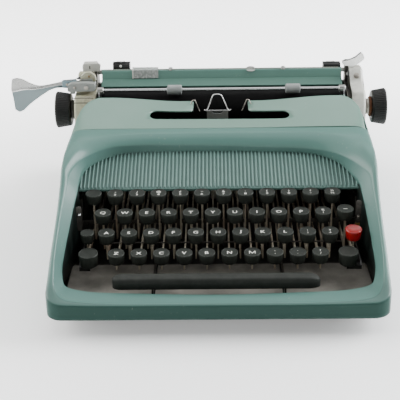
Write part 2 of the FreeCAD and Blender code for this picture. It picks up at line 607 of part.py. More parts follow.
kn = pd_body("platen_knobs")
sk = pd_sketch(kn, "XY_Plane")
R, Rs, W = D["knob_rad"], D["knob_small"], D["knob_width"]
for s in (-1, 1):
    a = h
    k0 = 149.8
    k1 = k0 + W
    hub = 146.6
    if s < 0:
        k0, k1 = 150.6, 149.8 + W + 0.6
        hub = 147.8
    pts = [(a, 0), (a, 4.0), (hub, 4.0), (hub, 7.6), (k0, 7.6), (k0, Rs - 1.2), (k0 + 1.2, Rs), (k1 - 1.6, R), (k1, R - 1.4), (k1, 13.5),
           (k1 - 1.6, 12.6), (k1 - 1.6, 4.5), (k1 - 0.4, 3.6), (k1 - 0.4, 0)]
    loop(sk, [(s * p[0], p[1]) for p in pts])
rv = kn.newObject("PartDesign::Revolution", "KnobRev")
rv.Profile = sk
rv.ReferenceAxis = (sk, ["H_Axis"])
rv.Angle = 360
kn.Tip = rv
kn.Placement = Placement(V(D["carriage_x"], D["platen_y"], D["platen_z"]), Rotation())
kn.setExpression("Placement.Base.x", S("carriage_x"))
node("platen_knobs", kn)

TABLE = [(90, 117.6), (101.2, 121.0), (104, 129.0), (106.6, 129.8), (106.6, 131.2), (103, 130.4), (100, 122.4), (89.6, 119.2)]
tab = ext("yz", TABLE, 4 - 118.5, 4 + 118.5)
bk2 = [ext("yz", [(102.2, 114), (112, 114), (112, 116), (103.6, 116), (103.6, 127), (102.2, 122.8)], 4 + x - 4, 4 + x + 4) for x in (-90, 0, 90)]
node("paper_table", fuse(tab, *bk2))
GUIDE = [(98.4, 123.0), (101.9, 131.8), (107.5, 133.0), (107.5, 131.9), (102.6, 131.0), (99.4, 122.7)]
node("paper_guide", ext("yz", GUIDE, -83.5, -59.5))


def stop(x0, x1):
    b = box(x0, x1, 108.4, 118.5, 131.4, 140.2)
    b = fillet(b, lambda e: e.BoundBox.ZMin > 140 and e.BoundBox.ZLength < 0.01, 1.2)
    return cut(b, box(x0 - 1, x1 + 1, 110.7, 114.8, 130, 137.8))


node("margin_stop_left", stop(-103.0, -87.4))
node("margin_stop_right", stop(104.8, 121.6))

# paper bail: rod, two arms and two rollers
by, bz = 74.4, 120.4
rodb = cyl(S("bail_rad"), 4 - 121.8, by, bz, 243.6, "x")
ARM = [(67.4, 95), (68.4, 112), (71.5, 123, 2.5), (77.0, 123, 2.5), (76.5, 117.5, 2), (74.2, 112), (73.6, 96), (73.6, 88.9, 3.0), (67.4, 88.9, 3.0)]
a1 = ext("yz", ARM, 4 - 121.8, 4 - 120.2)
a2 = ext("yz", ARM, 4 + 120.2, 4 + 121.8)
pins = [cyl(1.8, 4 + s * 125.3 - (3.6 if s > 0 else 0), 70.5, 92, 3.6, "x") for s in (-1, 1)]
bail = fuse(rodb, a1, a2, *pins)
rolls = []
for x in (-49.2, 67.6):
    c = cyl(S("roller_rad"), x, by, bz, 14, "x")
    c = fillet(c, lambda e: e.Closed and e.BoundBox.XLength < 0.01, 0.8)
    rolls.append(cut(c, rodb))
node("paper_bail", group(bail, *rolls))

# carriage return lever: boss, arm and a forked finger blade
BLADE = [(-208.2, 126.2, 1), (-206.4, 127.8, 1), (-201.7, 128.7, 5), (-196.0, 127.3), (-190.4, 124.2), (-184.0, 121.6), (-179.1, 120.6, 8), (-172.3, 121.6), (-160.4, 124.0),
         (-151.8, 126.3), (-145, 126.3), (-145, 119.0), (-152.7, 119.0), (-162.7, 118.7), (-169.6, 116.2), (-178.2, 110.6), (-185.3, 105.6), (-191.7, 100.5), (-197.3, 95.1, 2), (-202.1, 92.9, 2),
         (-206.4, 96.1, 2), (-207.7, 105.0, 4), (-207.4, 114.0), (-208.4, 120.1, 3)]
bl = ext("xz", BLADE, 92.2, 95.4)
boss = cyl(9.0, -136, 94, 119.0, 7.3)
link = box(-146, -136, 89.5, 98.5, 119.0, 126.3)
lb = cut(fuse(bl, boss, link), cyl(3.56, -136, 94, 110, 30))
node("return_lever", lb)
# the lever's pivot post stands on the left end plate
post = cyl(3.5, -136, 94, 110, 17.5)
headp = cyl(6.0, -136, 94, 126.6, 2.0)
arm2 = box(-140, 4 - 129, 90, 98, 108, 112)
old = NODES["carriage_frame"]
old.Shapes = old.Shapes + [post, headp, arm2]
hole_l = cyl(3.6, -136, 94, 108, 30)
lc = cut(left, hole_l)
NODES["carriage_end_covers"].Links = [lc, right]

# paper release lever: curved fin on the right, turning about a cross pin
FIN = [(133.4, 124.5), (133.4, 135.6, 1.5), (126.5, 137.3, 1.0), (131.6, 142.5, 6), (138.4, 146.2, 8), (146.4, 148.2, 1.5), (149.3, 141.0, 2), (144.5, 137.2, 4), (138.6, 136.4, 2), (138.0, 124.5)]
fin = ext("xz", FIN, 104.4, 109.2)
finb = cyl(5.0, 133.4, 109, 124.5, 4.6, "x")
fn = fuse(fin, finb)
slotr = box(129.0, 139.2, 96, 121, 118.5, 137)
NODES["carriage_end_covers"].Links = [lc, cut(right, slotr)]
fn = cut(fn, cyl(2.06, 120, 109, 124.5, 30, "x"))
node("paper_release_lever", fn)
pinr = cyl(2.0, 4 + 127, 109.0, 124.5, 7.4, "x")
padr = ext("yz", [(106.8, 112), (106.8, 124.5, 2.1), (111.2, 124.5, 2.1), (111.2, 112)], 4 + 125.5, 4 + 129.0)
old.Shapes = old.Shapes + [pinr, padr]

# line space lever: small selector at the left end
SEL = [(-134.0, 130.0), (-134.0, 138.4, 1.5), (-126.8, 138.4, 1.0), (-126.8, 130.0)]
sel = ext("xz", SEL, 103.5, 112.0)
selb = ext("yz", [(106.5, 120.5), (106.5, 131), (111.5, 131), (111.5, 120.5)], -130.2, -126.0)
selc = cyl(4.0, -130.2, 109, 121.5, 4.2, "x")
sv = cut(fuse(sel, selb, selc), cyl(2.06, -140, 109, 121.5, 30, "x"))
node("line_space_lever", sv)
pinl = cyl(2.0, -131.2, 109, 121.5, 7.0, "x")
old.Shapes = old.Shapes + [pinl]
slotl = box(-135.0, -120.0, 101.5, 118.8, 115.5, 130)
NODES["carriage_end_covers"].Links = [cut(lc, slotl)] + [NODES["carriage_end_covers"].Links[1]]

doc.recompute()
bad = []
for o in doc.Objects:
    if "Invalid" in o.State or "Error" in o.State:
        bad.append("%s %s %s" % (o.Name, o.Label, o.State))
for n, o in NODES.items():
    s = o.Shape
    if s.isNull() or not s.isValid() or not s.Solids:
        bad.append("shape of " + n)
if bad:
    raise RuntimeError("; ".join(bad))
os.makedirs("parts", exist_ok=True)
for n, o in NODES.items():
    o.Shape.exportStep("parts/%s.step" % n)
    b = o.Shape.BoundBox
    print("%-22s solids %3d vol %9.0f  x %7.1f %7.1f y %7.1f %7.1f z %6.1f %6.1f" % (n, len(o.Shape.Solids), o.Shape.Volume, b.XMin, b.XMax, b.YMin, b.YMax, b.ZMin, b.ZMax))
print("nodes", len(NODES))
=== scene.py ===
import bpy
import bmesh
import math
import numpy as np
from mathutils import Matrix, Vector

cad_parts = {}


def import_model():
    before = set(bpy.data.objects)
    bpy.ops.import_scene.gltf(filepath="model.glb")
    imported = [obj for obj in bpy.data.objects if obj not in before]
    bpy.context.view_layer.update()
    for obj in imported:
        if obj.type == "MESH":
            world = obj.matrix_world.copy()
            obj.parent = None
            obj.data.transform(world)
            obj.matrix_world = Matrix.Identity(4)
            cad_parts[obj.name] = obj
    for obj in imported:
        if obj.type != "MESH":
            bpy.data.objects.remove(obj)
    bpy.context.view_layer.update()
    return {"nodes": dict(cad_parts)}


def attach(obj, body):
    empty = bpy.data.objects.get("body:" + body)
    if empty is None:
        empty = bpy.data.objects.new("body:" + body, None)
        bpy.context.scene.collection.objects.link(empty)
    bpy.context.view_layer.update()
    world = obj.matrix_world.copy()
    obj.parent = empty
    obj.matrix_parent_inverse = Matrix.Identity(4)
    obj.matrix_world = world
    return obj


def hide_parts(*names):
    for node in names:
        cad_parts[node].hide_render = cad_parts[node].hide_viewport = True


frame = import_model()
NODES = frame["nodes"]
scene = bpy.context.scene
MM = 0.001
rng = np.random.default_rng(7)


# ------------------------------------------------------------------ geometry helpers (millimetres)
class Geo:
    """Vertices, faces and material slots of one piece while it is built."""

    def __init__(self):
        self.v, self.f, self.m = [], [], []

    def add(self, verts, faces, mat=0):
        o = len(self.v)
        self.v.extend((float(p[0]), float(p[1]), float(p[2])) for p in verts)
        for f in faces:
            self.f.append(tuple(int(i) + o for i in f))
            self.m.append(mat)


def rounded(pts, closed=True, seg=6):
    """Outline with rounded corners: a point is (a, b) or (a, b, r)."""
    out = []
    n = len(pts)
    for i, p in enumerate(pts):
        r = p[2] if len(p) > 2 else 0
        if r <= 0 or (not closed and i in (0, n - 1)):
            out.append((p[0], p[1]))
            continue
        a, b, c = (np.array(q[:2], float) for q in (pts[i - 1], p, pts[(i + 1) % n]))
        u, w = a - b, c - b
        lu, lw = np.linalg.norm(u), np.linalg.norm(w)
        u, w = u / lu, w / lw
        ang = math.acos(max(-1, min(1, float(u @ w))))
        if ang > math.pi - 1e-3:
            out.append(tuple(b))
            continue
        t = min(r / math.tan(ang / 2), lu * .49, lw * .49)
        rr = t * math.tan(ang / 2)
        bis = (u + w) / np.linalg.norm(u + w)
        cen = b + bis * rr / math.sin(ang / 2)
        p0, p1 = b + u * t - cen, b + w * t - cen
        a0, a1 = math.atan2(p0[1], p0[0]), math.atan2(p1[1], p1[0])
        d = (a1 - a0 + math.pi) % (2 * math.pi) - math.pi
        k = max(2, int(seg * abs(d) / (math.pi / 2)) + 1)
        for j in range(k + 1):
            q = a0 + d * j / k
            out.append((cen[0] + rr * math.cos(q), cen[1] + rr * math.sin(q)))
    return out


def place(axis, p, q, h):
    return {"x": (h, p, q), "y": (p, h, q), "z": (p, q, h)}[axis]


def prism(g, outline, axis, a, b, mat=0, seg=6):
    pts = rounded(outline, True, seg)
    n = len(pts)
    vs = [place(axis, p[0], p[1], a) for p in pts] + [place(axis, p[0], p[1], b) for p in pts]
    fs = [tuple(range(n)), tuple(range(2 * n - 1, n - 1, -1))]
    fs += [(i, (i + 1) % n, n + (i + 1) % n, n + i) for i in range(n)]
    g.add(vs, fs, mat)


def block(g, x0, x1, y0, y1, z0, z1, mat=0, r=0.0):
    prism(g, [(x0, y0, r), (x1, y0, r), (x1, y1, r), (x0, y1, r)], "z", z0, z1, mat)


def loft(g, rows, mat=0, close_u=False, close_v=False, cap=False):
    """rows: list of equally long point lists. close_u joins a row's ends, close_v joins last row to first."""
    m, n = len(rows), len(rows[0])
    vs = [p for r in rows for p in r]
    fs = []
    for i in range(m if close_v else m - 1):
        for j in range(n if close_u else n - 1):
            a, b = i * n + j, i * n + (j + 1) % n
            c, d = ((i + 1) % m) * n + (j + 1) % n, ((i + 1) % m) * n + j
            fs.append((a, b, c, d))
    if cap:
        fs.append(tuple(range(n)))
        fs.append(tuple((m - 1) * n + j for j in range(n - 1, -1, -1)))
    g.add(vs, fs, mat)


def basis(ax):
    ax = np.array(ax, float)
    ax /= np.linalg.norm(ax)
    h = np.array([0, 0, 1.0]) if abs(ax[2]) < .9 else np.array([1.0, 0, 0])
    u = np.cross(h, ax)
    u /= np.linalg.norm(u)
    return ax, u, np.cross(ax, u)


def lathe(g, prof, cen, ax, n=48, mat=0, mats=None, flute=None):
    """prof: (radius, height along ax). flute(theta, i) scales the radius of profile point i."""
    ax, u, w = basis(ax)
    cen = np.array(cen, float)
    rows = []
    for i, (r, h) in enumerate(prof):
        row = []
        for k in range(n):
            t = 2 * math.pi * k / n
            rr = r * (flute(t, i) if flute else 1.0)
            row.append(cen + ax * h + (u * math.cos(t) + w * math.sin(t)) * rr)
        rows.append(row)
    if mats is None:
        loft(g, rows, mat, close_u=True)
    else:
        for i in range(len(rows) - 1):
            loft(g, rows[i:i + 2], mats[i], close_u=True)


def tube(g, path, r, n=14, mat=0, caps=True):
    P = [np.array(p, float) for p in path]
    m = len(P)
    rs = r if hasattr(r, "__len__") else [r] * m
    T = []
    for i in range(m):
        d = P[min(i + 1, m - 1)] - P[max(i - 1, 0)]
        T.append(d / np.linalg.norm(d))
    _, u, _ = basis(T[0])
    rows = []
    for i in range(m):
        u = u - T[i] * float(u @ T[i])
        u /= np.linalg.norm(u)
        w = np.cross(T[i], u)
        rows.append([P[i] + (u * math.cos(2 * math.pi * k / n) + w * math.sin(2 * math.pi * k / n)) * rs[i] for k in range(n)])
    loft(g, rows, mat, close_u=True, cap=caps)


def crom(P, seg, closed=False):
    """Catmull-Rom through control rows P (K x D); seg samples between neighbours."""
    P = np.array(P, float)
    K = len(P)
    out = []
    for i in range(K if closed else K - 1):
        p0 = P[(i - 1) % K] if closed or i > 0 else 2 * P[0] - P[1]
        p1, p2 = P[i], P[(i + 1) % K]
        p3 = P[(i + 2) % K] if closed or i + 2 < K else 2 * P[-1] - P[-2]
        k = seg[i] if hasattr(seg, "__len__") else seg
        for j in range(k):
            t = j / k
            out.append(0.5 * ((2 * p1) + (p2 - p0) * t + (2 * p0 - 5 * p1 + 4 * p2 - p3) * t * t + (3 * p1 - p0 - 3 * p2 + p3) * t ** 3))
    if not closed:
        out.append(P[-1])
    return np.array(out)


def along(P, fr):
    """Points of polyline P at the given fractions of its length."""
    P = np.array(P, float)
    s = np.r_[0, np.cumsum(np.linalg.norm(np.diff(P, axis=0), axis=1))]
    return np.stack([np.interp(np.array(fr) * s[-1], s, P[:, k]) for k in range(P.shape[1])], 1)


def table_fn(xs, ys, sigma, n=1200):
    """Smoothed lookup through (xs, ys)."""
    xs, ys = np.array(xs, float), np.array(ys, float)
    X = np.linspace(xs[0] - 3 * sigma, xs[-1] + 3 * sigma, n)
    Y = np.interp(X, xs, ys)
    d = X[1] - X[0]
    k = np.arange(-int(3 * sigma / d) - 1, int(3 * sigma / d) + 2)
    w = np.exp(-.5 * (k * d / sigma) ** 2)
    w /= w.sum()
    Ys = np.convolve(np.pad(Y, len(k) // 2, mode="edge"), w, mode="valid")[:n]
    return lambda q: np.interp(q, X, Ys)


def smoothstep(x, a, b):
    t = np.clip((np.asarray(x, float) - a) / (b - a), 0, 1)
    return t * t * (3 - 2 * t)


M = {}
PIECES = []


def build(name, g, mats, body, angle=38, bevel=0.0, seg=2, replaces=(), solid=0.0, weld=2e-6, sub=0, wn=True, lim=32, rec=True, off=-1.0):
    me = bpy.data.meshes.new(name)
    V = np.array(g.v) * MM
    V[:, 1] = np.clip(V[:, 1], -.18422, .17598)
    me.from_pydata([tuple(v) for v in V], [], g.f)
    for m in mats:
        me.materials.append(M[m])
    me.polygons.foreach_set("material_index", g.m)
    bm = bmesh.new()
    bm.from_mesh(me)
    bmesh.ops.remove_doubles(bm, verts=bm.verts, dist=weld)
    bad = [f for f in bm.faces if f.calc_area() < 1e-13]
    if bad:
        bmesh.ops.delete(bm, geom=bad, context="FACES_ONLY")
    if rec:
        bmesh.ops.recalc_face_normals(bm, faces=bm.faces)
    if bevel > 0:
        bm.edges.ensure_lookup_table()
        es = [e for e in bm.edges if len(e.link_faces) == 2 and e.calc_face_angle(0) > math.radians(lim)]
        if es:
            bmesh.ops.bevel(bm, geom=es, offset=bevel * MM, segments=seg, profile=.5, affect="EDGES", clamp_overlap=True)
    loose = [v for v in bm.verts if not v.link_faces]
    if loose:
        bmesh.ops.delete(bm, geom=loose, context="VERTS")
    bm.to_mesh(me)
    bm.free()
    me.polygons.foreach_set("use_smooth", [True] * len(me.polygons))
    me.set_sharp_from_angle(angle=math.radians(angle if not bevel else 60))
    o = bpy.data.objects.new(name, me)
    scene.collection.objects.link(o)
    if sub:
        md = o.modifiers.new("sub", "SUBSURF")
        md.levels = md.render_levels = sub
    if solid:
        md = o.modifiers.new("thick", "SOLIDIFY")
        md.thickness = solid * MM
        md.offset = off
        md.use_even_offset = False
    if wn:
        md = o.modifiers.new("normals", "WEIGHTED_NORMAL")
        md.keep_sharp = True
    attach(o, body)
    if replaces:
        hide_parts(*replaces)
    PIECES.append(o)
    return o


# ------------------------------------------------------------------ materials
def lin(c):
    return tuple((x / 12.92 if x <= .04045 else ((x + .055) / 1.055) ** 2.4) for x in (v / 255 for v in c)) + (1.0,)


def mul(c, k):
    return tuple(min(1.0, v * k) for v in c[:3]) + (1.0,)


def material(name, col, rough=.4, metal=0.0, coat=0.0, coat_rough=.12, spec=.5, var=.10, scale=35, rvar=.08, bump=0.0, bscale=900,
             col2=None, blotch=0.0, crevice_shade=0.0, stain_and_crevice_shade_col=(38, 34, 28), speck=0.0, speck_col=(210, 205, 190), stretch=None, edge=0.0, edge_col=(150, 146, 138), wall=0.0):
    m = bpy.data.materials.new(name)
    m.use_nodes = True
    nt = m.node_tree
    nt.nodes.clear()
    N, L = nt.nodes.new, nt.links.new
    out = N("ShaderNodeOutputMaterial")
    bs = N("ShaderNodeBsdfPrincipled")
    L(bs.outputs[0], out.inputs[0])
    bs.inputs["Metallic"].default_value = metal
    bs.inputs["Specular IOR Level"].default_value = spec
    bs.inputs["Coat Weight"].default_value = coat
    bs.inputs["Coat Roughness"].default_value = coat_rough
    tc = N("ShaderNodeTexCoord")
    mp = N("ShaderNodeMapping")
    L(tc.outputs["Object"], mp.inputs["Vector"])
    if stretch:
        mp.inputs["Scale"].default_value = stretch
    base = lin(col)
    n1 = N("ShaderNodeTexNoise")
    n1.inputs["Scale"].default_value = scale
    n1.inputs["Detail"].default_value = 5
    n1.inputs["Roughness"].default_value = .6
    L(mp.outputs[0], n1.inputs["Vector"])
    cr = N("ShaderNodeValToRGB")
    cr.color_ramp.elements[0].position = .32
    cr.color_ramp.elements[1].position = .68
    cr.color_ramp.elements[0].color = mul(base, 1 - var)
    cr.color_ramp.elements[1].color = lin(col2) if col2 else mul(base, 1 + var)
    L(n1.outputs["Fac"], cr.inputs["Fac"])
    c = cr.outputs["Color"]

    def mix(fac, colour, kind="MIX"):
        nonlocal c
        x = N("ShaderNodeMix")
        x.data_type = "RGBA"
        x.blend_type = kind
        L(fac, x.inputs["Factor"])
        L(c, x.inputs["A"])
        x.inputs["B"].default_value = colour
        c = x.outputs["Result"]

    def ramp(sock, lo, hi, a=0.0, b=1.0):
        r = N("ShaderNodeMapRange")
        r.inputs["From Min"].default_value = lo
        r.inputs["From Max"].default_value = hi
        r.inputs["To Min"].default_value = a
        r.inputs["To Max"].default_value = b
        L(sock, r.inputs["Value"])
        return r.outputs["Result"]

    # painted shade: the low, forward-facing front wall and the front ledge are painted darker (about half the base
    # colour), with specular and coat turned down on the wall
    if wall:
        gw = N("ShaderNodeNewGeometry")
        sw = N("ShaderNodeSeparateXYZ")
        L(gw.outputs["Normal"], sw.inputs[0])
        mw = N("ShaderNodeMath")
        mw.operation = "MULTIPLY"
        L(ramp(sw.outputs["Y"], -.3, -.62), mw.inputs[0])
        L(ramp(sw.outputs["Z"], .85, .6, 0, wall), mw.inputs[1])
        sz = N("ShaderNodeSeparateXYZ")
        L(tc.outputs["Object"], sz.inputs[0])
        mz = N("ShaderNodeMath")
        mz.operation = "MULTIPLY"
        L(mw.outputs[0], mz.inputs[0])
        L(ramp(sz.outputs["Z"], .036, .030), mz.inputs[1])
        ml = N("ShaderNodeMath")
        ml.operation = "MULTIPLY"
        L(ramp(sz.outputs["Y"], -.146, -.168, 0, .6), ml.inputs[0])
        L(ramp(sz.outputs["Z"], .046, .036), ml.inputs[1])
        mix(ml.outputs[0], mul(base, .45))
        mix(mz.outputs[0], mul(base, .42))
        L(ramp(mz.outputs[0], 0, 1, spec, spec * .15), bs.inputs["Specular IOR Level"])
        L(ramp(mz.outputs[0], 0, 1, coat, 0), bs.inputs["Coat Weight"])
    rfac = None
    if blotch:
        n2 = N("ShaderNodeTexNoise")
        n2.inputs["Scale"].default_value = scale * .28
        n2.inputs["Detail"].default_value = 6
        n2.inputs["Distortion"].default_value = 1.2
        L(mp.outputs[0], n2.inputs["Vector"])
        mix(ramp(n2.outputs["Fac"], .5, .72, 0, blotch), lin(stain_and_crevice_shade_col))
    if speck:
        n3 = N("ShaderNodeTexNoise")
        n3.inputs["Scale"].default_value = scale * 22
        n3.inputs["Detail"].default_value = 2
        L(mp.outputs[0], n3.inputs["Vector"])
        n4 = N("ShaderNodeTexNoise")
        n4.inputs["Scale"].default_value = scale * 1.7
        L(mp.outputs[0], n4.inputs["Vector"])
        mt = N("ShaderNodeMath")
        mt.operation = "MULTIPLY"
        L(ramp(n3.outputs["Fac"], .68, .74), mt.inputs[0])
        L(ramp(n4.outputs["Fac"], .48, .62, 0, speck), mt.inputs[1])
        mix(mt.outputs[0], lin(speck_col))
        rfac = mt.outputs[0]
    # convex edges found by pointiness are shifted toward edge_col: edge wear, and on the keycaps a painted highlight
    # ring round the rims
    if edge:
        ge = N("ShaderNodeNewGeometry")
        n5 = N("ShaderNodeTexNoise")
        n5.inputs["Scale"].default_value = scale * 6
        n5.inputs["Detail"].default_value = 4
        L(mp.outputs[0], n5.inputs["Vector"])
        mt = N("ShaderNodeMath")
        mt.operation = "MULTIPLY"
        L(ramp(ge.outputs["Pointiness"], .53, .60), mt.inputs[0])
        L(ramp(n5.outputs["Fac"], .42, .60, 0, edge), mt.inputs[1])
        mix(mt.outputs[0], lin(edge_col))
    # painted shade: colour is pulled toward the shade colour wherever ambient occlusion finds creases, grooves and
    # recesses
    if crevice_shade:
        ao = N("ShaderNodeAmbientOcclusion")
        ao.samples = 4
        ao.inputs["Distance"].default_value = .006
        mix(ramp(ao.outputs["AO"], .82, .25, 0, crevice_shade), lin(stain_and_crevice_shade_col))
    L(c, bs.inputs["Base Color"])
    nr = N("ShaderNodeTexNoise")
    nr.inputs["Scale"].default_value = scale * 2.3
    nr.inputs["Detail"].default_value = 6
    L(mp.outputs[0], nr.inputs["Vector"])
    L(ramp(nr.outputs["Fac"], .25, .75, max(.02, rough - rvar), min(1, rough + rvar)), bs.inputs["Roughness"])
    if bump:
        nb = N("ShaderNodeTexNoise")
        nb.inputs["Scale"].default_value = bscale
        nb.inputs["Detail"].default_value = 3
        L(mp.outputs[0], nb.inputs["Vector"])
        bp = N("ShaderNodeBump")
        bp.inputs["Strength"].default_value = 1.0
        bp.inputs["Distance"].default_value = bump * MM
        L(nb.outputs["Fac"], bp.inputs["Height"])
        L(bp.outputs[0], bs.inputs["Normal"])
    M[name] = m
    return m


PAINT = (86, 116, 108)
material("bright_wire", (222, 222, 220), rough=.28, metal=.55, var=.04, scale=90, rvar=.06)
# shell_paint carries painted shade on its front wall and front ledge (the wall mask)
material("shell_paint", (70, 104, 96), rough=.44, coat=.14, coat_rough=.2, spec=.3, wall=1.0, var=.02, scale=18, rvar=.05, bump=.010, bscale=420, crevice_shade=.12, speck=.10, edge=.18, edge_col=(150, 168, 160))
material("band_paint", (70, 102, 95), rough=.45, coat=.05, spec=.35, var=.03, scale=20, rvar=.06, bump=.010, bscale=500, crevice_shade=.2, speck=.12)
# inner well wall: a dark copy of the shell paint, painted shade
material("skirt_painted_shade", (24, 34, 31), rough=.55, spec=.3, var=.1, scale=30, rvar=.06, bump=.01, bscale=500)
material("cover_enamel", (88, 117, 105), rough=.36, coat=.12, coat_rough=.2, var=.02, scale=16, rvar=.05, bump=.010, bscale=420, crevice_shade=.3, speck=.10, edge=.18, edge_col=(172, 186, 176))
material("rib_paint", (80, 110, 103), rough=.5, spec=.35, var=.03, scale=40, rvar=.05, bump=.005, bscale=700, crevice_shade=.8, stain_and_crevice_shade_col=(24, 42, 38), speck=.25, speck_col=(150, 170, 162))
material("grey_paint", (124, 128, 124), rough=.42, var=.07, scale=50, rvar=.1, bump=.012, bscale=800, blotch=.25, crevice_shade=.4, edge=.3)
material("cream_paint", (172, 172, 164), rough=.4, coat=.2, var=.05, scale=45, rvar=.08, bump=.01, bscale=700, blotch=.22, stain_and_crevice_shade_col=(120, 108, 80), crevice_shade=.35, edge=.4, edge_col=(112, 112, 108))
material("beige_paint", (148, 148, 124), rough=.45, coat=.1, var=.09, scale=55, rvar=.1, bump=.012, bscale=700, blotch=.6, stain_and_crevice_shade_col=(96, 84, 56), crevice_shade=.5, speck=.5, speck_col=(196, 194, 180), edge=.5, edge_col=(190, 186, 172))
# keycaps: their edge colour is a painted highlight ring on the rims
material("key_plastic", (30, 33, 29), rough=.5, spec=.15, var=.12, scale=120, rvar=.1, bump=.01, bscale=1600, speck=.10, speck_col=(90, 88, 80), edge=.6, edge_col=(132, 138, 130))
material("space_plastic", (36, 38, 35), rough=.6, spec=.15, var=.2, scale=150, rvar=.1, bump=.02, bscale=1500, speck=.3, speck_col=(120, 118, 110))
material("red_plastic", (126, 7, 5), rough=.32, coat=.06, coat_rough=.1, var=.10, scale=120, rvar=.05)
material("legend", (208, 208, 200), rough=.5, var=.05, scale=400)
material("chrome", (196, 198, 198), rough=.18, metal=1.0, var=.05, scale=60, rvar=.08, bump=.004, bscale=1200, blotch=.12, stain_and_crevice_shade_col=(110, 104, 92))
material("steel", (150, 146, 138), rough=.38, metal=1.0, var=.12, scale=80, rvar=.12, bump=.008, bscale=1200, blotch=.3, stain_and_crevice_shade_col=(80, 66, 48))
material("dark_steel", (66, 64, 60), rough=.45, metal=.8, var=.2, scale=70, rvar=.12, bump=.01, bscale=1000, blotch=.4, stain_and_crevice_shade_col=(50, 38, 26))
material("lever_steel", (170, 162, 144), rough=.5, metal=.4, var=.2, scale=60, rvar=.12, blotch=.5, stain_and_crevice_shade_col=(110, 62, 30))
material("alloy", (150, 152, 148), rough=.35, metal=.9, var=.1, scale=60, rvar=.1, bump=.008, bscale=900, blotch=.3, stain_and_crevice_shade_col=(100, 86, 62))
# darker, bluish copy of blade_metal for the blade's lower facet: painted shade
material("blade_shaded_facet", (108, 120, 122), rough=.34, metal=.9, var=.06, scale=30, rvar=.08, bump=.01, bscale=300, blotch=.1, stain_and_crevice_shade_col=(90, 94, 92))
material("blade_metal", (196, 197, 194), rough=.28, metal=.9, var=.05, scale=30, rvar=.08, bump=.01, bscale=300, blotch=.1, stain_and_crevice_shade_col=(130, 128, 120))
material("blue_grey", (92, 112, 118), rough=.4, metal=.3, var=.12, scale=60, rvar=.1, blotch=.3)
material("brass", (128, 104, 60), rough=.38, metal=1.0, var=.2, scale=90, rvar=.12, blotch=.5, stain_and_crevice_shade_col=(54, 44, 30))
material("rubber", (7, 7, 7), rough=.7, spec=.06, var=.15, scale=80, rvar=.1, bump=.01, bscale=1500)
material("roller_rubber", (118, 122, 120), rough=.6, var=.12, scale=120, rvar=.1, bump=.02, bscale=1400)
material("foot_rubber", (34, 34, 34), rough=.75, var=.15, scale=120, bump=.03, bscale=1200)
material("knob_plastic", (17, 17, 15), rough=.4, spec=.25, var=.1, scale=100, rvar=.08, bump=.008, bscale=1500, edge=.4, edge_col=(120, 120, 112), crevice_shade=.3)
material("plate_metal", (116, 113, 106), rough=.5, metal=.1, spec=.3, var=.28, scale=38, rvar=.14, bump=.03, bscale=500, blotch=.75, stain_and_crevice_shade_col=(44, 43, 38), speck=.5, speck_col=(140, 138, 130))
material("well_dark", (58, 56, 50), rough=.6, var=.3, scale=60, rvar=.12, bump=.02, bscale=800, blotch=.4, stain_and_crevice_shade_col=(46, 34, 22))
material("green_light", (62, 93, 83), rough=.5, spec=.25, var=.03, scale=20, rvar=.05, bump=.01, bscale=500, speck=.12)
material("green_dark", (70, 108, 97), rough=.4, coat=.1, var=.03, scale=20, rvar=.06, bump=.01, bscale=500, speck=.12)
material("guide_grey", (112, 118, 114), rough=.4, var=.08, scale=80, rvar=.1, blotch=.3, edge=.5, edge_col=(220, 220, 214))
material("black_enamel", (22, 22, 21), rough=.38, spec=.35, var=.2, scale=60, rvar=.12, bump=.01, bscale=800, blotch=.3, stain_and_crevice_shade_col=(60, 56, 50), speck=.2)
material("ribbon_ink", (20, 19, 22), rough=.8, var=.2, scale=300, bump=.04, bscale=1400)
material("rust", (96, 58, 34), rough=.75, metal=.2, var=.3, scale=200, rvar=.1, bump=.03, bscale=900)
material("verdigris", (86, 108, 72), rough=.7, var=.3, scale=300, bump=.04, bscale=900, blotch=.5, stain_and_crevice_shade_col=(126, 96, 52))


# ------------------------------------------------------------------ casing: front ring around the keyboard
def shear(y):
    return min(0.0175 * (y + 93.0), 3.5)


CREST = [(0, -11, 108.5), (67, -11.5, 108.6), (85, -13, 108.8), (99, -15.5, 108.8), (108, -19, 108.4), (116, -24, 107.4), (123, -32, 105.4),
         (129, -44, 104.5), (134.5, -62, 97), (135, -70, 92.3), (135.3, -84, 82.3), (135.7, -105, 71.2), (136, -140, 52.5), (135.3, -160, 41),
         (133, -171.5, 35.2), (127.5, -178, 31.5), (115.5, -181, 30.2), (80, -182.6, 29), (0, -182.6, 29)]
R_SIDE = [(131.5, -63, 91.8), (132, -70, 88.8), (133, -84, 80), (134.3, -105, 70), (135, -140, 51.5), (134, -160, 40), (131.5, -170, 34.5),
          (126, -175.5, 31), (115, -178.5, 29.7), (80, -180.6, 28.6), (0, -180.6, 28.6)]
I_SIDE = [(124.5, -67.8, 78), (126.1, -82.5, 70), (127.8, -101.5, 59.4), (130.2, -136, 41), (129.2, -145.6, 35), (127.7, -151.5, 32),
          (124.1, -156, 29.6), (106, -160, 28), (80, -161.3, 27.3), (0, -162.5, 26)]
R_ARCH = {-1: [(16.4, 102.6, -18.5), (65.9, 103.3, -19.2), (82, 102.8, -21), (95.7, 101.8, -24), (104.2, 99.5, -28), (112.7, 96.1, -33),
               (121.3, 91.4, -40), (127.1, 87.3, -47), (133, 81.9, -55)],
          1: [(47.1, 99.5, -20.5), (77.2, 98.8, -22.5), (92.3, 97, -26), (107.4, 93.6, -34), (122.9, 85.2, -48), (131.9, 78.4, -59)]}
I_ARCH = {-1: [(16.4, 96.4, -18), (71, 98.5, -18.5), (87.6, 96.6, -20.5), (98.7, 95, -24.5), (104.3, 93.8, -27.5), (109.9, 92.1, -31),
               (115.6, 88.6, -35), (121.6, 83.2, -41.5), (126.2, 79.1, -47)],
          1: [(47.1, 94.7, -19.5), (77.2, 93.1, -20.5), (92.4, 90.5, -24), (107.5, 85.5, -32), (115.3, 80.4, -40), (123.2, 73.8, -52), (127.3, 67.8, -60)]}
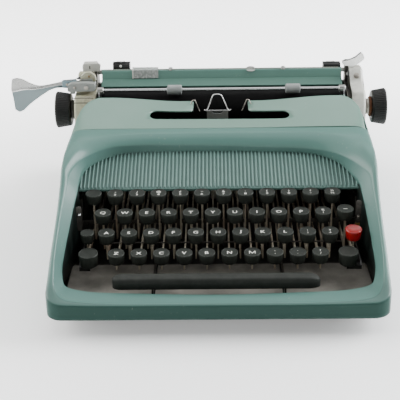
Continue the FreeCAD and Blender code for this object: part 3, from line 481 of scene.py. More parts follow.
# matching rows of the two rails on the sides: crest index -> rail index
R_AT = {9: (132, -70, 88.8), 10: (133, -84, 80), 11: (134.3, -105, 70), 12: (135, -140, 51.5), 13: (134, -160, 40), 14: (131.5, -170, 34.5),
        15: (126, -175.5, 31), 16: (115, -178.5, 29.7), 17: (80, -180.6, 28.6), 18: (0, -180.6, 28.6)}
I_AT = {9: (124.5, -67.8, 78), 10: (126.1, -82.5, 70), 11: (127.8, -101.5, 59.4), 12: (130.2, -136, 41), 13: (129.2, -145.6, 35), 14: (127.7, -151.5, 32),
        15: (124.1, -156, 29.6), 16: (106, -160, 28), 17: (80, -161.3, 27.3), 18: (0, -162.5, 26)}
W_OF = table_fn([-184, -141, -106, -67, -60, 0, 180], [139.6, 139.3, 138.4, 138.6, 138.8, 138.8, 138.5], 5)
ZB_OF = table_fn([-190, -150, -60, 0], [15.6, 15.4, 11.2, 10.5], 6)
S_END = 169.3
ARC = 15 * math.pi / 2
S_MID = S_END + ARC + 124.6
A_OF = table_fn([0, 25, 44, 62, 70, 84, 105, 140, 160, 170, 183, 200, 230, S_MID], [15, 15, 11, 4.6, 3.6, 3.2, 2.8, 3.2, 4.2, 5.2, 6.0, 3.6, 1.8, 1.8], 4)
B_OF = table_fn([0, 25, 44, 62, 70, 84, 170, 183, 200, S_MID], [7, 7, 6, 3.6, 3, 2.6, 2.6, 3.2, 2.8, 2.6], 4)
ZT_OF = table_fn([0, 25, 43, 54, 63, 70, 84, 105, 140, 160, 172, 184, 199, 235, S_MID],
                 [109, 109, 107, 103, 98, 92.6, 82.6, 71.4, 52.6, 41.0, 35.4, 31.6, 30.2, 29, 29], 4)
ZB = 10.5


def outer_pt(q, s):
    """Outer skin, right half: q -1..0 across the top, 0..1 round the shoulder, 1..2 down the wall; s runs along the outline."""
    a, b, zt = float(A_OF(s)), float(B_OF(s)), float(ZT_OF(s))
    if s <= S_END:
        x, y, nx, ny = float(W_OF(-s)), -s, 1.0, 0.0
    elif s <= S_END + ARC:
        t = (s - S_END) / 15
        nx, ny = math.cos(t), -math.sin(t)
        x, y = 124.6 + 15 * nx, -S_END + 15 * ny
    else:
        x, y, nx, ny = 124.6 - (s - S_END - ARC), -184.3, 0.0, -1.0
    if q < 0:
        return np.array([(x - a) * (1 + q), y, zt])
    if q <= 1:
        t = q * math.pi / 2
        return np.array([x - nx * a * (1 - math.sin(t)), y - ny * a * (1 - math.sin(t)), zt - b + b * math.cos(t)])
    zb = float(ZB_OF(y))
    return np.array([x, y, (zt - b) + (zb - zt + b) * (q - 1)])


QC, SC, QO, SO = [], [], [], []
for k, (x, y, z) in enumerate(CREST):
    if k <= 8:
        s = -y
        half = float(W_OF(y)) - float(A_OF(s))
        QC.append(-1 + x / half if x < half else min(.4, math.asin((x - half) / float(A_OF(s))) / (math.pi / 2)))
        SC.append(s)
        QO.append([-1, -.45, -.293, -.144, .05, .5, 1.05, 1.45, 2.0][k])
        SO.append(.6)
    else:
        s = {9: 70, 10: 84, 11: 105, 12: 140, 13: 160, 14: 172.3, 15: 184.4, 16: 199.4, 17: 234.9, 18: S_MID}[k]
        QC.append(0.0)
        SC.append(s)
        QO.append(2.0)
        SO.append({9: 30, 10: 66, 11: 100, 12: 139}.get(k, s))


def rails(sg):
    def world(p, y0):
        x, z, y = p
        return (sg * x * (1 + .1 * (y - y0) / 130), y, z - .41 * (y - y0))
    sh = lambda p: (sg * p[0] + shear(p[1]), p[1], p[2])
    out = []
    for arch, side, at, y0, start in ((R_ARCH, R_SIDE, R_AT, -26, (0, -18.8, 99.1)), (I_ARCH, I_SIDE, I_AT, -28, (0, -18, 92.1))):
        P = [start] + [world(p, y0) for p in arch[sg]] + [sh(at[9])]
        fr = np.array([0, 67, 85, 99, 110, 121, 133, 147, 167, 178]) / 178.0
        head = along(P, fr)
        out.append([tuple(p) for p in head] + [sh(at[k]) for k in range(10, 19)])
    C = [sh(p) for p in CREST]
    return out[0], out[1], C


ctrl = []
halves = {sg: rails(sg) for sg in (-1, 1)}
order = [(-1, k) for k in range(0, 19)] + [(1, k) for k in range(17, 0, -1)]
for sg, k in order:
    R, I, C = halves[sg]
    if k in (0, 18):
        R0, I0 = ((np.array(halves[-1][j][k]) + np.array(halves[1][j][k])) / 2 for j in (0, 1))
    else:
        R0, I0 = R[k], I[k]
    ctrl.append(list(R0) + list(I0) + list(C[k]) + [QC[k], SC[k], QO[k], SO[k], sg * 1.0])
ctrl = np.array(ctrl)
lens = [np.linalg.norm(ctrl[(i + 1) % 36, 6:9] - ctrl[i, 6:9]) for i in range(36)]
segs = [max(6, int(l / 3.0)) for l in lens]
ring = crom(ctrl[:, :13], segs, closed=True)
sign = []
for i in range(36):
    sign += [ctrl[i, 13] if (i < 18) else 1.0] * segs[i]
for i in range(18, 36):
    pass
sign = np.array(sign)
for _ in range(10):
    core = ring[:, :6]
    ring[:, :6] = .25 * np.roll(core, 1, 0) + .5 * core + .25 * np.roll(core, -1, 0)
for _ in range(4):
    core = ring[:, 6:9]
    ring[:, 6:9] = .25 * np.roll(core, 1, 0) + .5 * core + .25 * np.roll(core, -1, 0)
NS = len(ring)
J_OUT = 20
rows = [[] for _ in range(5 + 6 + 8 + J_OUT + 1)]
for i in range(NS):
    R, I, C = ring[i, 0:3], ring[i, 3:6], ring[i, 6:9]
    qc, sc, qo, so = ring[i, 9:13]
    so, sc = max(.6, so), max(.6, sc)
    sg = sign[i]
    tg = ring[(i + 1) % NS, 6:9] - ring[i - 1, 6:9]
    tg /= np.linalg.norm(tg)
    col = []
    kd = float(smoothstep(-I[1], 58, 68))
    depth = 14 * (1 - kd) + max(3.5, I[2] - 20.5) * kd
    col += [I + (0, 0, -depth), I + (0, 0, -depth * .55), I + (0, 0, -1.6), I + (0, 0, -.5)]
    d = R - I
    n1 = np.cross(tg, d)
    n1 /= np.linalg.norm(n1)
    if n1[2] < 0 and abs(n1[2]) > .2:
        n1 = -n1
    L = np.linalg.norm(d)
    col += [I]
    col += [I + d * t for t in (min(.06, .6 / L), .15, .35, .6, .85, max(.9, 1 - .7 / L))]
    e = C - R
    n2 = np.cross(tg, e)
    n2 /= np.linalg.norm(n2)
    if n2[2] < 0:
        n2 = -n2
    Le = np.linalg.norm(e)
    for t in (0.0, .07, .2, .36, .52, .68, .84, .94):
        col.append(R + e * t + n2 * (.115 * Le * 4 * t * (1 - t) ** 1.15))
    P0 = outer_pt(float(qc), float(sc))
    P0[0] = P0[0] * sg + shear(P0[1])
    off = C - P0
    for j in range(J_OUT + 1):
        t = (j / J_OUT) ** 1.45
        q, s = qc + (qo - qc) * t, sc + (so - sc) * t
        P = outer_pt(float(q), float(s))
        P[0] = P[0] * sg + shear(P[1])
        col.append(P + off * (1 - t) ** 3)
    for r_, p in zip(rows, col):
        r_.append(p)
A = np.array(rows)
lo = 11
for _ in range(5):
    B = A.copy()
    A[lo + 2:lo + 16] = .25 * B[lo + 1:lo + 15] + .5 * B[lo + 2:lo + 16] + .25 * B[lo + 3:lo + 17]
g = Geo()
nf_ = len(g.f)
# the well's inner skirt is painted dark (painted shade), except where it is high under the arch
loft(g, list(A[:4]), 2, close_u=True)
for k_ in range(nf_, len(g.f)):
    if min(g.v[i_][2] for i_ in g.f[k_]) > 69:
        g.m[k_] = 1
loft(g, list(A[3:11 + 1]), 1, close_u=True)
loft(g, list(A[11:]), 0, close_u=True)
build("shell_front", g, ["shell_paint", "band_paint", "skirt_painted_shade"], "housing", angle=50, solid=1.5, replaces=["body_shell"], wn=False)

# side cheeks beside the carriage and cover
path = rounded([(-.6, 99.2), (34, 99.2, 8), (54, 64, 8), (97, 64)], closed=False, seg=8)
st = [path[0]]
for p in path[1:]:
    n = max(1, int((p[0] - st[-1][0]) / 9))
    q0 = st[-1]
    for j in range(1, n + 1):
        st.append((q0[0] + (p[0] - q0[0]) * j / n, q0[1] + (p[1] - q0[1]) * j / n))
g = Geo()
for sg in (-1, 1):
    rows = []
    for y, z in st:
        w = float(W_OF(y))
        sec = rounded([(w, 10.5), (w, z, 4.5), (127.4, z, 1.6), (127.4, 55), (w - 2.5, 54), (w - 2.5, 10.5)], seg=6)
        sec = [(w, 30 + 0 * z), (w, 52)] + sec if False else sec
        rows.append([(sg * a + shear(y), y, b) for a, b in sec])
    loft(g, rows, 0, close_u=True, cap=True)
block(g, -128.5 + 1.6, 128.5 + 1.6, -2.6, 3.4, 96.8, 99.2, 0)
build("shell_cheeks", g, ["shell_paint"], "housing", angle=45, bevel=.5, lim=50, replaces=["body_shell"])

# rear deck and back wall
side_p = along(rounded([(0, 10.5), (0, 64, 8), (28, 64)], closed=False, seg=8), np.linspace(0, 1, 30))
rear_p = along(rounded([(0, 10.5), (0, 40, 10), (10, 64, 14), (28, 64)], closed=False, seg=8), np.linspace(0, 1, 30))
W = 138.5
base = []
for y in np.linspace(97, 148, 9):
    base.append((-W, y, -1, 0, 0.0))
for t in np.linspace(0, 90, 13)[1:]:
    r = math.radians(t)
    base.append((-110.5 - 28 * math.cos(r), 148.1 + 28 * math.sin(r), -math.cos(r), math.sin(r), float(smoothstep(t, 0, 90))))
for x in np.linspace(-110.5, 110.5, 23)[1:-1]:
    base.append((x, 176.1, 0, 1, 1.0))
for t in np.linspace(90, 0, 13):
    r = math.radians(t)
    base.append((110.5 + 28 * math.cos(r), 148.1 + 28 * math.sin(r), math.cos(r), math.sin(r), float(smoothstep(t, 0, 90))))
for y in np.linspace(148, 97, 9)[1:]:
    base.append((W, y, 1, 0, 0.0))
rows = []
for k in range(30):
    row = []
    for x, y, nx, ny, w in base:
        d = side_p[k][0] * (1 - w) + rear_p[k][0] * w
        z = side_p[k][1] * (1 - w) + rear_p[k][1] * w
        yy = y - ny * d
        row.append((x - nx * d + shear(yy), yy, z))
    rows.append(row)
g = Geo()
loft(g, rows, 0)
g.add(rows[-1], [tuple(range(len(rows[-1])))], 0)
build("shell_rear", g, ["shell_paint"], "housing", angle=45, solid=2.4, replaces=["body_shell"], weld=2e-5)

# ------------------------------------------------------------------ ribbon cover
CW = table_fn([-5, 8, 26, 41, 51, 55.5, 57], [138.9, 138.6, 137.4, 134.2, 129.6, 125.4, 121.6], .8)
CA = lambda y: 15 - 10.5 * float(smoothstep(y, 8, 52))
CB = lambda y: 7 - 3.2 * float(smoothstep(y, 8, 52))


def cover_top(x, y):
    t = max(0.0, min(1.0, y / 57.0))
    return 109 + 6.5 * t + 4.4 * float(smoothstep(abs(x), 36, 108)) * t ** 1.5


def cover_len(y):
    a, b = CA(y), CB(y)
    arc = math.pi / 2 * math.sqrt((a * a + b * b) / 2)
    top = cover_top(float(CW(y)), y)
    return float(CW(y)) - a, arc, max(1.2, top - b - (100.2 + 1.4 * y / 57))


def cover_pt(u, y):
    """u in -1.2..1.2: 0..0.8 flat, 0.8..1 shoulder, 1..1.2 side."""
    p = cover_raw(u, y)
    # the lid sits a little proud and open on the right, where the photo shows its seam
    k = float(smoothstep(u, .15, .6))
    p[1] += (.1 + .85 * k) * max(0.0, 1 - y / 5.0)
    p[2] += .35 * k * max(0.0, 1 - y / 30.0)
    if u > .8:
        p[0] -= 2.3 * float(smoothstep(u, .8, 1.0)) * float(smoothstep(y, 46, 6))
    return p


def cover_raw(u, y):
    s, v = (1 if u >= 0 else -1), abs(u)
    w, a, b = float(CW(y)), CA(y), CB(y)
    flat, arc, wall = cover_len(y)
    if v <= .8:
        x = flat * v / .8
        return np.array([s * x + shear(y), y, cover_top(x, y)])
    zt = cover_top(w, y)
    if v <= 1:
        t = (v - .8) / .2 * math.pi / 2
        return np.array([s * (w - a + a * math.sin(t)) + shear(y), y, zt - b * (1 - math.cos(t))])
    return np.array([s * w + shear(y), y, zt - b - wall * (v - 1) / .2])


def ux(x, y):
    return .8 * x / (float(CW(y)) - CA(y))


g = Geo()
rows = []
for y in np.linspace(.2, 46.5, 24):
    w_, b_ = float(CW(y)), CB(y)
    zt_ = cover_top(w_, y) - b_ * (.9 + .1 * float(smoothstep(y, 0, 40)))
    k_ = float(smoothstep(y, 46.5, 36))
    zt_ = 101.0 + (zt_ - 101.0) * k_
    xo = w_ + shear(y) - .05
    rows.append([(xo, y, 100.2 + 1.4 * y / 57 - 1.5), (xo, y, zt_ - .4), (xo - .35, y, zt_), (xo - 1.0, y, zt_ - .2), (xo - 1.2, y, zt_ - .8), (xo - 1.2, y, 100.2 + 1.4 * y / 57 - 1.5)])
loft(g, rows, 0, close_v=True, cap=True)
build("shell_rim", g, ["shell_paint"], "housing", angle=40, replaces=["body_shell"], wn=False)
inner = rounded([(-32.0, 57.0), (-25.6, 56.8, 4.0), (-26.0, 35.4, 5.0), (-66.4, 36.2, 7.0), (-66.4, 19.0, 7.0), (66.0, 17.4, 7.0), (66.0, 33.6, 7.0), (27.6, 35.4, 5.0), (26.8, 56.8, 4.0), (33.0, 57.0)], closed=False, seg=9)
ins = [inner[0]]
for p in inner[1:]:
    q0 = ins[-1]
    n = max(1, int(math.hypot(p[0] - q0[0], p[1] - q0[1]) / 3.0))
    for j in range(1, n + 1):
        ins.append((q0[0] + (p[0] - q0[0]) * j / n, q0[1] + (p[1] - q0[1]) * j / n))
inner = ins


def fr_of(pts):
    s = np.r_[0, np.cumsum([math.hypot(pts[i + 1][0] - pts[i][0], pts[i + 1][1] - pts[i][1]) for i in range(len(pts) - 1)])]
    return s


si = fr_of(inner)
# outer contour in the (u, y) domain, matched to the inner one by key points
kin = [0, None, None, None, None, len(inner) - 1]
corner_ids = [min(range(len(inner)), key=lambda i: math.hypot(inner[i][0] - c[0], inner[i][1] - c[1])) for c in ((-66.4, 36.2), (-66.4, 19.0), (66.0, 17.4), (66.0, 33.6))]
keys_in = [0] + corner_ids + [len(inner) - 1]
keys_out = [(-1.2, 57.0), (-1.2, 37.5), (-1.2, 0.0), (1.2, 0.0), (1.2, 37.5), (1.2, 57.0)]
outer_c = []
for a in range(5):
    i0, i1 = keys_in[a], keys_in[a + 1]
    for i in range(i0, i1 + (1 if a == 4 else 0)):
        t = (si[i] - si[i0]) / (si[i1] - si[i0])
        o0, o1 = keys_out[a], keys_out[a + 1]
        outer_c.append((o0[0] + (o1[0] - o0[0]) * t, o0[1] + (o1[1] - o0[1]) * t))
rows = []
for k in range(23):
    t = k / 22.0
    t2 = t
    row = []
    for (x, y), (uo, yo) in zip(inner, outer_c):
        ui = ux(x, y)
        row.append(cover_pt(ui + (uo - ui) * t2, y + (yo - y) * t2))
    rows.append(row)
g = Geo()
loft(g, rows, 0)
cov = build("cover_lid", g, ["cover_enamel", "dark_steel", "steel"], "ribbon_cover", angle=50, replaces=["ribbon_cover"], wn=False, rec=True, solid=1.5)
# make sure the lid's normals point up, so its thickness goes inwards
me = cov.data
zc = np.zeros(len(me.polygons) * 3)
me.polygons.foreach_get("normal", zc)
if zc.reshape(-1, 3)[:, 2].sum() < 0:
    me.flip_normals()
sf = bpy.data.objects["shell_front"].data
zc = np.zeros(len(sf.polygons) * 3)
sf.polygons.foreach_get("normal", zc)
ctr = np.zeros(len(sf.polygons) * 3)
sf.polygons.foreach_get("center", ctr)
nn, cc = zc.reshape(-1, 3), ctr.reshape(-1, 3)
if (nn[:, 0] * cc[:, 0])[np.abs(cc[:, 0]) > .136].sum() < 0:
    sf.flip_normals()
sr = bpy.data.objects["shell_rear"].data
zc = np.zeros(len(sr.polygons) * 3)
sr.polygons.foreach_get("normal", zc)
if zc.reshape(-1, 3)[:, 2].sum() < 0:
    sr.flip_normals()

# hinge hooks and wire guides of the cover
g = Geo()
for sg in (-1, 1):
    x0, x1 = (112.0, 115.0) if sg > 0 else (-115.0, -112.0)
    prism(g, [(47.8, 111.6), (47.8, 101.8, 3.9), (56.2, 101.8, 3.9), (56.2, 112.6)], "x", x0, x1, 0)
for x0, sg in ((-24.5, -1), (26.0, 1)):
    pts = [(x0 + sg * 5.0, 50, 111.4), (x0 + sg * 4.2, 50, 114.0), (x0 + sg * 2.6, 50, 117.4), (x0 + sg * 1.0, 50.2, 118.9), (x0 - sg * .4, 50.6, 118.0), (x0 - sg * 2.4, 51.4, 112.5), (x0 - sg * 4.6, 52.2, 106.5)]
    tube(g, crom([(p[0] + shear(50), p[1], p[2]) for p in pts], 6), .55, n=10, mat=1)
build("cover_fittings", g, ["dark_steel", "steel"], "ribbon_cover", bevel=.3, lim=50, replaces=["ribbon_cover"])

# ------------------------------------------------------------------ fluted panel
A0, A1 = np.array([-62.0, 75.4]), np.array([-17.6, 92.8])
Lp = float(np.linalg.norm(A1 - A0))
uy, uz = (A1 - A0) / Lp
xs = np.linspace(-126, 126, 252 * 4 + 1)
ph = (xs + 0.5 * 3.41) % 3.41 - 0.5 * 3.41
ribh = 1.35 * np.sqrt(np.clip(1 - (np.abs(ph) / 1.02) ** 2.2, 0, 1))
ribh[np.abs(xs) > 36.6 * 3.41] = 0
g = Geo()
rows = []
for t, k, h0 in ((0.0, 0, -2.4), (0.0, 0, -.6), (.35, 0, 0), (1.2, 0, .0), (1.5, .45, 0), (2.0, .8, 0), (2.8, 1, 0), (12, 1, 0), (24, 1, 0), (36, 1, 0), (Lp - .5, 1, 0)):
    rows.append([(x, A0[0] + uy * t - uz * (h * k + h0), A0[1] + uz * t + uy * (h * k + h0)) for x, h in zip(xs, ribh)])
rows.append([(x, A0[0] + uy * (Lp - .5) + uz * 2.4, A0[1] + uz * (Lp - .5) - uy * 2.4) for x in xs])
loft(g, rows, 0, close_v=True)
build("rib_panel", g, ["rib_paint"], "housing", angle=60, replaces=["ribbed_panel"], wn=False)


# ------------------------------------------------------------------ keys
_glyphs = {}


def glyph(text, size, heavy=.004, wide=1.14):
    """A thin solid letter, centred on the origin, in millimetres."""
    k = (text, size)
    if k in _glyphs:
        return _glyphs[k]
    if text == "\u2014":
        v = np.array([(a, b, h) for h in (-.02, .02) for a, b in ((-1.7, -.3), (1.7, -.3), (1.7, .3), (-1.7, .3))])
        _glyphs[k] = (v, [(4, 5, 6, 7), (3, 2, 1, 0), (0, 1, 5, 4), (1, 2, 6, 5), (2, 3, 7, 6), (3, 0, 4, 7)])
        return _glyphs[k]
    if text == "M":
        P = [(0, 0), (.09, 0), (.09, .56), (.385, .08), (.455, .08), (.75, .56), (.75, 0), (.84, 0), (.84, .7), (.71, .7), (.42, .22), (.13, .7), (0, .7)]
        Q = [(0, 1, 2, 12), (12, 2, 11), (2, 3, 10, 11), (3, 4, 10), (10, 4, 5, 9), (9, 5, 8), (5, 6, 7, 8)]
        n = len(P)
        v = np.array([((a - .42) / .70 * size * wide, (b - .35) / .70 * size, h * size) for h in (-.006, .006) for a, b in P])
        f = [tuple(i + n for i in q) for q in Q] + [tuple(reversed(q)) for q in Q]
        f += [(i, (i + 1) % n, (i + 1) % n + n, i + n) for i in range(n)]
        _glyphs[k] = (v, f)
        return _glyphs[k]
    cu = bpy.data.curves.new("txt", "FONT")
    cu.body = text
    cu.size = 1.0
    cu.extrude = .006
    cu.offset = heavy
    cu.resolution_u = 4
    ob = bpy.data.objects.new("txt", cu)
    scene.collection.objects.link(ob)
    bpy.context.view_layer.update()
    dg = bpy.context.evaluated_depsgraph_get()
    me = bpy.data.meshes.new_from_object(ob.evaluated_get(dg))
    v = np.array([tuple(p.co) for p in me.vertices])
    f = [tuple(p.vertices) for p in me.polygons]
    bpy.data.objects.remove(ob)
    bpy.data.meshes.remove(me)
    v[:, 0] -= (v[:, 0].min() + v[:, 0].max()) / 2
    v[:, 1] -= (v[:, 1].min() + v[:, 1].max()) / 2
    v[:, :2] *= size / .70
    v[:, 0] *= wide
    v[:, 2] *= size
    _glyphs[k] = (v, f)
    return _glyphs[k]


TILT = math.radians(5)
AXK = np.array([0, -math.sin(TILT), math.cos(TILT)])
UPK = np.array([0, math.cos(TILT), math.sin(TILT)])
ROWS = {1: (-70.9, 76.2), 2: (-89.9, 66.4), 3: (-109.0, 56.7), 4: (-128.0, 47.0)}
X1 = [-90.8 + 19.05 * k for k in range(11)]
X2 = [-100.4 + 19.05 * k for k in range(11)]
X3 = [-96.0 + 19.05 * k for k in range(11)]
X4 = [-86.6 + 19.05 * k for k in range(10)]


def dish(r, R):
    """Depth of the dished keytop at radius r."""
    k = R - 1.25
    return -.95 + .55 * (min(r, k) / k) ** 2


def cap(g, x, row, text=None, R=7.1, H=9.3, dz=0.0, mat=0, leg=1, stub=2):
    y, z = ROWS[row][0], ROWS[row][1] + dz
    prof = [(0, dish(0, R))] + [(r, dish(r, R)) for r in np.linspace(.25, 1, 6) * (R - 1.3)]
    prof += [(R - 1.12, -.42), (R - 1.0, -.2), (R - .85, -.05), (R - .62, 0), (R - .36, -.05), (R - .13, -.24), (R - .02, -.55), (R, -.9)]
    prof += [(R - .8 * t, -.9 - (H - 1.5) * t) for t in (.25, .5, .75, 1.0)]
    prof += [(R - .95, -H + .25), (R - 1.25, -H), (3.0, -H)]
    c = np.array([x, y, z])
    lathe(g, prof, c, AXK, 56, mat)
    lathe(g, [(3.0, -H), (2.8, -H - 1.4), (2.1, -H - 2.0), (0, -H - 2.0)], c, AXK, 24, stub)
    if text is None:
        return
    items = [(text, 3.9 if len(text) == 1 and text.isalpha() else 3.6, 0.3)] if isinstance(text, str) else [(text[0], 2.5, 2.35), (text[1], 2.9, -1.75)]
    for s, size, oy in items:
        v, f = glyph(s, size)
        pts = []
        for a, b, h in v:
            b2 = b + oy
            rr = math.hypot(a, b2)
            pts.append(c + np.array([a, 0, 0]) + UPK * b2 + AXK * (dish(rr, R) + .05 + h))
        g.add(pts, f, leg)


def levr(g, x, row, H=9.3, dz=0.0, mat=3, tab=False, w=5.0, low=None):
    y, z = ROWS[row][0], ROWS[row][1] + dz
    top = z - H + 1.0
    pts = [(y - 2.3, 31.2, 1), (y - 2.3, top), (y + 2.3, top), (y + 2.3, 37, 3.0), (60, 37), (65, 37, 4.9), (65, 27, 4.9), (55, 27)]
    pts += [(35, 27), (35, 17.2), (27, 17.2), (27, 31.2)] if tab else [(42, 31.2)]
    prism(g, pts, "x", x - .6, x + .6, mat)


def keynode(node, body, defs, mat="key_plastic"):
    g = Geo()
    for x, row, text, kw in defs:
        kw = dict(kw)
        cap(g, x, row, text, **kw)
        levr(g, x, row, H=kw.get("H", 9.3), dz=kw.get("dz", 0.0))
    return build(node + "_cap", g, [mat, "legend", "black_enamel", "lever_steel"], body, angle=34, replaces=[node], weld=1e-6, wn=False)


for i, ch in enumerate("qwertyuiop"):
    keynode("key_" + ch, "key_" + ch, [(X2[i], 2, ch.upper(), {})])
for i, ch in enumerate("asdfghjkl"):
    keynode("key_" + ch, "key_" + ch, [(X3[i], 3, ch.upper(), {})])
for i, ch in enumerate("zxcvbnm"):
    keynode("key_" + ch, "key_" + ch, [(X4[i], 4, ch.upper(), {})])
NUM = [("\"", "2"), ("/", "3"), ("@", "4"), ("£", "5"), ("_", "6"), ("&", "7"), ("'", "8"), ("(", "9"), (")", "0"), ("?", "-"), ("¼", "½")]
keynode("number_row_keys", "number_row_keys", [(x, 1, NUM[i], {}) for i, x in enumerate(X1)])
pk = [(X2[10], 2, ("%", "!"), {}), (X3[9], 3, (":", ";"), {}), (X3[10], 3, ("*", "+"), {})]
pk += [(X4[7], 4, (",", ","), {}), (X4[8], 4, (".", "."), {}), (X4[9], 4, ("?", "/"), {})]
keynode("punctuation_keys", "punctuation_keys", pk)
keynode("backspace_key", "backspace_key", [(-109.9, 1, None, {})])
keynode("margin_release_key", "margin_release_key", [(109.15, 2, "\u2014", {"dz": 2.0})])
keynode("tab_key", "tab_key", [(114.3, 3, None, {"dz": 1.5, "stub": 0})], mat="red_plastic")
keynode("shift_lock_key", "shift_lock_key", [(-112.4, 3, None, {"R": 5.9})])
g = Geo()
for xc, xl in ((-110.1, -117.5), (108.1, 119.0)):
    cap(g, xc, 4, None, R=8.25, H=11.6)
    s = .6 if xc > xl else -.6
    a, b = sorted((xl + s, xc + s))
    block(g, a, b, -130.5, -125.5, 31, 34.5, 2)
    block(g, xc - 1.2, xc + 1.2, -130.5, -125.5, 31, 36.5, 2)
    pts = [(-130.5, 31), (-130.5, 34.5), (-125.7, 37, 1), (60, 37), (65, 37, 4.9), (65, 27, 4.9), (55, 27), (35, 27), (35, 17.2), (27, 17.2), (27, 31.2)]
    prism(g, pts, "x", xl - .6, xl + .6, 2)
block(g, -116.9, 118.4, 28.3, 33.7, 18, 24, 2)
build("shift_caps", g, ["key_plastic", "legend", "black_enamel", "lever_steel"], "shift_keys", angle=34, replaces=["shift_keys"], weld=1e-6, wn=False)

# space bar: crowned bar with round ends on two arms
g = Geo()
sec = rounded([(-5.5, 27.6, 1.0), (-5.9, 33.6, 1.0), (-5.3, 37.4, 2.6), (0, 38.4, 8), (5.4, 37.6, 2.6), (5.8, 33.6, 1.0), (5.4, 28.2, 1.0)], seg=6)
rows = []
e = 7.0
xs_ = list(-88.4 + e * (1 - np.cos(np.linspace(.06, math.pi / 2, 9)))) + list(np.linspace(-80.0, 71.0, 24)) + list(82.8 - 11.0 * (1 - np.cos(np.linspace(math.pi / 2, .06, 11))))
for x in xs_:
    d, q = (x + 88.4, e) if x < 0 else (82.8 - x, 11.0)
    k = math.sqrt(max(0.0, 1 - ((q - d) / q) ** 2)) if d < q else 1.0
    kz = 1 - (.34 if x < 0 else .5) * (1 - k)
    rows.append([(x, -151.8 + a * k, 28.2 + (b - 28.2) * kz) for a, b in sec])
loft(g, rows, 0, close_u=True, cap=True)
for x in (-55.3, 54.2):
    pts = [(-155, 20.9), (-155, 30.5), (-149, 30.5), (-149, 26, 2), (0, 26), (8, 37), (60, 37), (65, 37, 4.9), (65, 27, 4.9), (55, 27), (42, 31), (12, 31), (4, 20)]
    prism(g, pts, "x", x - .7, x + .7, 1)
build("space_bar_piece", g, ["space_plastic", "dark_steel"], "space_bar", angle=40, replaces=["space_bar"], wn=False)


# ------------------------------------------------------------------ CAD parts that keep their shape
def dress(node, mat, bevel=.35, seg=2, lim=35):
    o = NODES[node]
    o.data.materials.clear()
    o.data.materials.append(M[mat])
    w = o.modifiers.new("weld", "WELD")
    w.merge_threshold = 2e-6
    if bevel:
        b = o.modifiers.new("edge", "BEVEL")
        b.width = bevel * MM
        b.segments = seg
        b.limit_method = "ANGLE"
        b.angle_limit = math.radians(lim)
        b.use_clamp_overlap = True
    return o


for nm, mt, bv in (("keyboard_plate", "plate_metal", .3), ("machine_frame", "dark_steel", .25),
                   ("carriage_rail", "steel", .3), ("type_segment", "dark_steel", .25), ("typebars", "steel", .15), ("type_guide", "steel", .15)
                   ):
    dress(nm, mt, bv)

# base pan: a shallow pressed tray, and four feet under it
g = Geo()
oo = rounded([(-137.4, -168.5, 14), (137.4, -168.5, 14), (137.2, 174.5, 27), (-137.2, 174.5, 27)], seg=8)
st_ = [oo[0]]
for p_ in oo[1:]:
    n_ = max(1, int(math.hypot(p_[0] - st_[-1][0], p_[1] - st_[-1][1]) / 20))
    a_ = st_[-1]
    st_ += [(a_[0] + (p_[0] - a_[0]) * j / n_, a_[1] + (p_[1] - a_[1]) * j / n_) for j in range(1, n_ + 1)]
oo = [(p_[0] + shear(p_[1]), p_[1]) for p_ in st_]
def inset_o(d):
    return [(x - math.copysign(min(abs(x), d), x), y - math.copysign(d, y)) for x, y in oo]
rows = [[(x, y, z) for x, y in inset_o(d)] for d, z in ((0, 19.0), (0, 12.6), (.4, 11.6), (1.4, 11.2), (14, 11.2), (16, 12.0), (60, 12.0))]
rows += [[(x, y, z) for x, y in inset_o(d)] for d, z in ((60, 13.4), (16, 13.4), (2.0, 13.0), (1.6, 19.0))]
loft(g, rows, 0, close_u=True, close_v=True)
g.add(rows[6], [tuple(range(len(oo)))], 0)
g.add(rows[7], [tuple(range(len(oo) - 1, -1, -1))], 0)
for x in (-104, 104):
    for y in (-150, -108):
        lathe(g, [(0, 13.2), (4.0, 13.2), (3.8, 17.0), (0, 17.0)], (x, y, 0), (0, 0, 1), 24, 0)
build("base_tray", g, ["black_enamel"], "housing", angle=35, replaces=["base_pan"], wn=False)
g = Geo()
for sx in (-1, 1):
    for sy, yc in ((-1, -146.0), (1, 148.0)):
        lathe(g, [(0, 0), (7.2, 0), (8.2, .4), (8.8, 1.4), (9.2, 5.0), (9.2, 8.8), (8.6, 9.6), (6.0, 10.2), (6.0, 12.0), (0, 12.0)], (sx * 112, yc, 0), (0, 0, 1), 40, 0)
        lathe(g, [(3.2, .02), (3.0, 1.6), (0, 1.6)], (sx * 112, yc, -.01), (0, 0, 1), 20, 1)
build("feet_pieces", g, ["foot_rubber", "steel"], "housing", angle=40, replaces=["rubber_feet"], wn=False)

# ribbon vibrator: bright wire fork on a grey plate
g = Geo()
pts = [(-13.0, 60.2, 105.6), (-12.2, 60.2, 104.6), (-11.0, 60.2, 104.6), (-9.6, 60.2, 106.6), (-7.2, 60.4, 112.4), (-4.9, 60.5, 118.8), (-3.6, 60.5, 120.6), (-1.6, 60.5, 121.0), (1.0, 60.5, 121.0), (3.2, 60.5, 120.4), (4.6, 60.5, 118.6),
       (7.4, 60.4, 112.4), (9.8, 60.2, 106.6), (11.2, 60.2, 104.6), (12.4, 60.2, 104.6), (13.2, 60.2, 105.6)]
tube(g, crom(pts, 6), .5, n=10, mat=0)
prism(g, [(-10.5, 80), (-10.5, 103.6, .8), (-6.5, 104.4, .5), (-4, 101.5, 2), (4, 101.5, 2), (6.5, 104.4, .5), (10.5, 103.6, .8), (10.5, 80)], "y", 59.8, 60.9, 1)
block(g, -11.2, 11.2, 59.6, 60.6, 103.9, 104.9, 0)
build("vibrator_fork", g, ["bright_wire", "grey_paint"], "ribbon_vibrator", bevel=.0, angle=40, replaces=["ribbon_vibrator"], wn=False)
